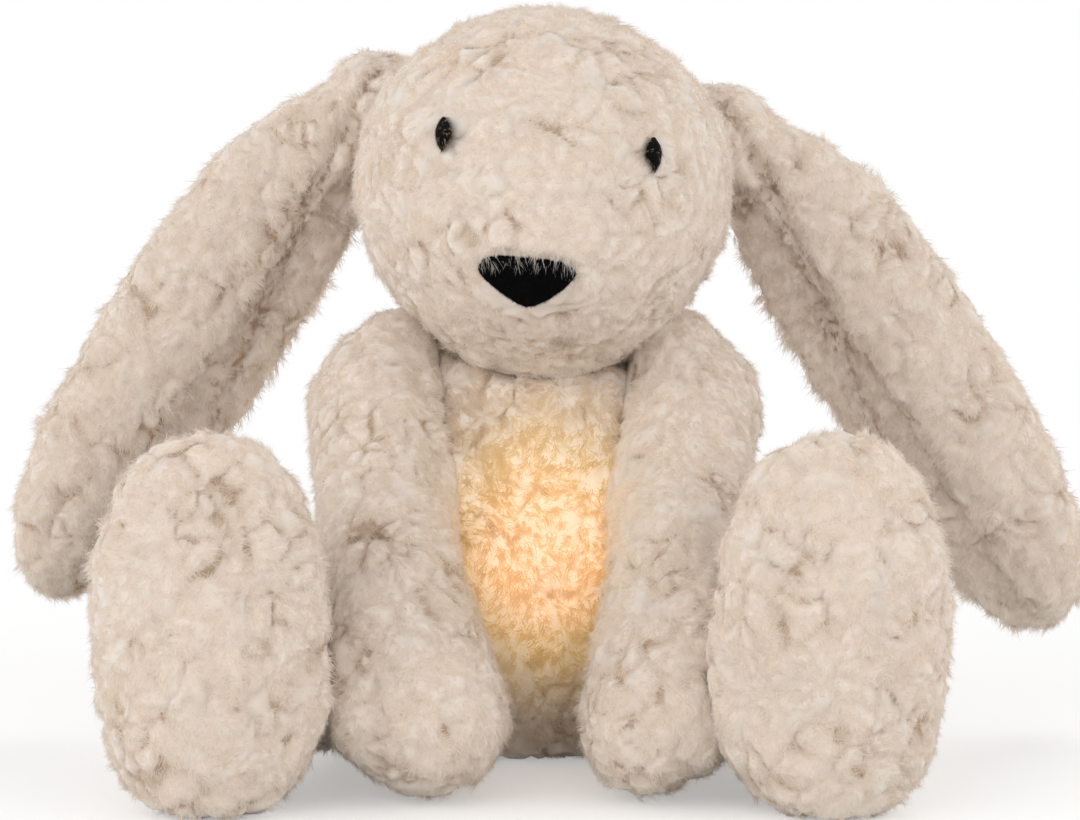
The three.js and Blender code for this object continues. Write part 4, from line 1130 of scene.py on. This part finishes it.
# Arms and legs
# Stuffed tubes with rounded ends. The arms are sewn in at the shoulders and the legs at the
# hips, and each leg ends in an upright foot with its own sole panel facing forward.
arm_bend = 22 * MM
arm_middle = 72 * MM
shoulder_rise = 8 * MM
shoulder_foot = 116 * MM
shoulder_slope = 18 * MM
shoulder_out = 76 * MM
shoulder_in = 48 * MM
sole_back = -126 * MM
foot_lay = (0, 0, -0.4)
# Painted light: the arms' pile glows where the belly's light would spill onto them, as emission.
glow_spill_yarn = plush_material("spill_pile", glow=0.4)
for number, side in enumerate(("right", "left")):
    arm, leg, foot = f"arm_{side}", f"leg_{side}", f"foot_{side}"
    arm_cover, leg_cover, foot_cover = f"arm_cover_{side}", f"leg_cover_{side}", f"foot_cover_{side}"
    body_covers = ["belly_panel", f"back_cover_{side}"]

    arm_neighbours = [*body_covers, foot_cover, leg_cover, "head_cover_front", f"ear_{side}"]
    skin = plush_skin(f"{arm}_skin", [arm_cover, f"arm_filling_{side}"], arm_neighbours, reach=18 * MM)
    x, y, z = corners_of(skin).T
    inner = np.clip((shoulder_out - np.abs(x)) / (shoulder_out - shoulder_in), 0, 1)
    lift = np.clip((z - shoulder_foot) / shoulder_slope, 0, 1) * inner
    moved(skin, np.array((0, 0, 1)), evened(skin, lift, 4) * shoulder_rise)
    skin = dressed(skin, cream_fleece)
    upper = corners_of(skin)[:, 2] > arm_middle
    shares = {"upper": upper, "lower": ~upper}
    grown = piles(arm, skin, shares, glow_spill_yarn, 100 + 10 * number, Lay=(0, 0, -0.7))
    shoulder = Vector(joints[f"{arm}_raise"]["pos_m"])
    along = Vector((0, -1, -0.6)).normalized()
    blend = {"from": "torso", "start": shoulder - along * arm_bend, "end": shoulder + along * arm_bend}
    worn(skin, grown, [arm_cover], arm, blend)
    stuffing(f"{arm}_stuffing", f"arm_filling_{side}", arm)

    leg_neighbours = [*body_covers, "base_panel", foot_cover, arm_cover]
    skin = plush_skin(f"{leg}_skin", [leg_cover, f"leg_filling_{side}"], leg_neighbours)
    skin = dressed(skin, cream_fleece)
    grown = piles(leg, skin, {"all": 1}, cream_yarn, 120 + 10 * number)
    worn(skin, grown, [leg_cover], leg)
    stuffing(f"{leg}_stuffing", f"leg_filling_{side}", leg)

    foot_nodes = [foot_cover, f"foot_sole_{side}"]
    skin = plush_skin(f"{foot}_skin", [*foot_nodes, f"foot_filling_{side}"], [leg_cover, arm_cover])
    skin = dressed(skin, cream_fleece)
    sole = corners_of(skin)[:, 1] < sole_back
    seed = 140 + 10 * number
    grown = piles(foot, skin, {"sole": sole}, cream_yarn, seed, slot="sole_plush", Lay=foot_lay)
    grown += piles(foot, skin, {"back": ~sole}, cream_yarn, seed + 5, Lay=foot_lay)
    worn(skin, grown, foot_nodes, leg)
    stuffing(f"{foot}_stuffing", f"foot_filling_{side}", leg)

for family in (matted_locks, fringe_locks, stitches, naps):
    for kind in list(family.objects):
        bpy.data.objects.remove(kind)
    bpy.data.collections.remove(family)

# Zip
# A nylon coil zip set in the back seam: two woven tapes, each with a coil of round loops
# along its edge, and a pressed steel slider, pull and stop.
rib_half_thickness = 0.3 * MM
rib_pitch = 1.3 * MM
rib_sides = 6
rib_steps = 6
coil_middle = 1.4 * MM
coil_reach = 0.95 * MM
coil_rise = 0.85 * MM
coil_from_foot = 8.8 * MM
coil_from_head = 0.6 * MM


def coil_tree():
    """Geometry Nodes that repeat one loop of the coil at an even pitch along the zip."""
    kinds = {"Loop": "Object", "Start": "Vector", "End": "Vector", "Pitch": "Float", "Finish": "Material"}
    g, given = new_tree("coil", kinds)
    way = given["End"].vector("SUBTRACT", given["Start"])
    length = way.length()
    spacing = {0: (length / given["Pitch"]).math("FLOOR"), 2: given["Start"]}
    spacing[3] = way.scaled(given["Pitch"] / length)
    line = g.node("GeometryNodeMeshLine", {"mode": "OFFSET"}, spacing)
    space = {"transform_space": "ORIGINAL"}
    loop = g.node("GeometryNodeObjectInfo", space, {"Object": given["Loop"]}, "Geometry")
    laid = g.node("GeometryNodeInstanceOnPoints", {}, {"Points": line, "Instance": loop})
    real = g.node("GeometryNodeRealizeInstances", {}, {"Geometry": laid})
    finished = g.node("GeometryNodeSetMaterial", {}, {"Geometry": real, "Material": given["Finish"]})
    g.node("NodeGroupOutput", {}, {"Result": finished})
    return g.tree


def coil_loop(out, way):
    """One loop of the coil, an arch over the tape's edge, round in section and closed at both feet."""
    edit = bmesh.new()
    rings = []
    for step in range(rib_steps + 1):
        turn = math.pi * step / rib_steps
        across, rise = -math.cos(turn) * coil_reach, math.sin(turn) * coil_rise
        spoke = (Vector((-math.cos(turn), 0, 0)) + out * math.sin(turn)).normalized()
        ring = []
        for side in range(rib_sides):
            angle = 2 * math.pi * side / rib_sides
            aside = (spoke * math.cos(angle) + way * math.sin(angle)) * rib_half_thickness
            ring.append(edit.verts.new(Vector((across, 0, 0)) + out * rise + aside))
        rings.append(ring)
    for one, two in zip(rings[:-1], rings[1:]):
        for side in range(rib_sides):
            after = (side + 1) % rib_sides
            edit.faces.new((one[side], one[after], two[after], two[side]))
    edit.faces.new(rings[0][::-1])
    edit.faces.new(rings[-1])
    bmesh.ops.recalc_face_normals(edit, faces=edit.faces)
    mesh = bpy.data.meshes.new("coil_loop")
    edit.to_mesh(mesh)
    edit.free()
    mesh.shade_smooth()
    return piece_from("coil_loop", mesh)


def grained(name, values_of):
    """A material whose surface is drawn up by a function from its graph and the place on the piece."""
    material, graph = new_material(name)
    values = values_of(graph, graph.spot())
    height, distance, strength = values.pop("bump")
    bump = {"Height": height, "Distance": distance, "Strength": strength}
    values["Normal"] = graph.node("ShaderNodeBump", {}, bump)
    shader_output(graph, principled(graph, values))
    return material


def woven_material(name, dark, pale, thread):
    """Plain weave: threads over and under each other, across and up the piece."""

    def cloth(graph, spot):
        place = spot.scaled(math.pi / thread)
        weave = place.part("X").math("SINE") * place.part("Z").math("SINE") * 0.5 + 0.5
        shade = weave * 0.6 + graph.noise(place, 0.35, 3.0) * 0.4
        values = {"Base Color": graph.ramp([(0.1, dark), (0.8, pale)], shade), "Roughness": 0.85}
        return values | {"Sheen Weight": 0.2, "bump": (weave, thread * 0.4, 0.7)}

    return grained(name, cloth)


def moulded_material(name, dark, pale, roughness, grain=0.4 * MM, metallic=0.0, alpha=1.0, glow=0):
    """Moulded or wrapped stuff: a fine grain in the gloss, and a slow drift in the colour."""

    def stuff(graph, spot):
        fine = graph.noise(spot.scaled(1 / grain), 1.0)
        slow = graph.noise(spot.scaled(60.0), 1.0, 4.0)
        values = {"Base Color": graph.ramp([(0.35, dark), (0.65, pale)], slow)}
        values |= {"Roughness": roughness + (fine - 0.5) * 0.2, "Metallic": metallic, "Alpha": alpha}
        if glow:
            values |= {"Emission Color": glow_light(graph, glow_stops), "Emission Strength": glow}
        return values | {"bump": (fine, grain * 0.1, 0.5)}

    return grained(name, stuff)


def brushed_steel(graph, spot):
    """Pressed steel with the fine lines of its rolling along it."""
    rub = graph.noise(spot.vector("MULTIPLY", (9000, 9000, 500)), 1.0)
    values = {"Base Color": graph.ramp([(0.3, srgb(176, 176, 180)), (0.7, srgb(214, 214, 216))], rub)}
    return values | {"Metallic": 1.0, "Roughness": 0.24 + rub * 0.2, "bump": (rub, 0.02 * MM, 0.4)}


def lacquered_board(graph, spot):
    """A circuit board: copper tracks that show as paler lines under green lacquer."""
    bricks = {"Vector": spot.scaled(260.0).vector("MULTIPLY", (1, 0, 1)), "Scale": 1.0, "Mortar Size": 0.05}
    bricks |= {"Color1": (0, 0, 0, 1), "Color2": (0, 0, 0, 1), "Mortar": pure_white}
    tracks = graph.node("ShaderNodeTexBrick", {"offset": 0.5}, bricks, "Fac")
    mottle = graph.noise(spot.scaled(500.0), 1.0)
    stops = [(0.0, srgb(22, 84, 44)), (0.4, srgb(28, 98, 52)), (1.0, srgb(66, 142, 78))]
    values = {"Base Color": graph.ramp(stops, tracks * 0.8 + mottle * 0.3), "Roughness": 0.35}
    return values | {"Coat Weight": 0.4, "bump": (tracks, 0.05 * MM, 0.6)}


nylon = moulded_material("nylon_coil", srgb(218, 208, 190), srgb(232, 224, 208), 0.4)
coil_nodes = coil_tree()
for side, sign in (("right", -1), ("left", 1)):
    tape = np.array([vertex.co for vertex in frame["nodes"][f"zip_tape_{side}"].data.vertices])
    way = Vector(np.linalg.svd(tape - tape.mean(axis=0), full_matrices=False)[2][0])
    way = Vector((0, way.y, way.z)).normalized() * math.copysign(1, way.z)
    out = Vector((0, way.z, -way.y))
    face = max(tape @ np.array(out))
    along_tape = tape @ np.array(way)
    base = out * (face - coil_rise) + Vector((sign * coil_middle, 0, 0))
    ends = {"Start": base + way * (min(along_tape) + coil_from_foot)}
    ends["End"] = base + way * (max(along_tape) - coil_from_head)
    loop = coil_loop(out, way)
    coil = piece_from(f"zip_coil_{side}", bpy.data.meshes.new(f"zip_coil_{side}"))
    coil = grown_by(coil, coil_nodes, {"Loop": loop, **ends, "Pitch": rib_pitch, "Finish": nylon})
    bpy.data.objects.remove(loop)
    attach(coil, "torso")

# Module and its fittings
# The light and sound unit in its cloth pouch: a frosted dome over the lamps, a white case, a
# panel with soft keys, boards, a flat cell and a speaker, with four steel screws.
dome = moulded_material("frosted_dome", srgb(250, 240, 214), srgb(255, 248, 230), 0.6, alpha=0.9, glow=0.6)
finishes = {
    "lining": woven_material("lining_cloth", srgb(196, 184, 164), srgb(226, 216, 198), 0.5 * MM),
    "zip_tape": woven_material("zip_weave", srgb(206, 194, 172), srgb(232, 223, 206), 0.45 * MM),
    "steel": grained("pressed_steel", brushed_steel),
    "frosted_plastic": dome,
    "white_plastic": moulded_material("white_case", srgb(232, 230, 225), srgb(243, 241, 237), 0.45),
    "grey_plastic": moulded_material("grey_keys", srgb(150, 154, 160), srgb(168, 172, 177), 0.6, 0.25 * MM),
    "black_plastic": moulded_material("black_moulding", (0.012, 0.012, 0.013), (0.022, 0.022, 0.024), 0.5),
    "board": grained("lacquered_board", lacquered_board),
    "led": moulded_material("lamp_lens", srgb(252, 226, 150), srgb(255, 238, 190), 0.2, glow=1.0),
    "cell": moulded_material("cell_foil", srgb(176, 180, 186), srgb(204, 207, 212), 0.35, 2 * MM, 0.8),
}
slots = {row["node"]: row["material_slot"] for row in frame["record"]["subparts"]}
for node, thing in frame["nodes"].items():
    if slots[node] in finishes:
        for material_slot in thing.material_slots:
            material_slot.material = finishes[slots[node]]
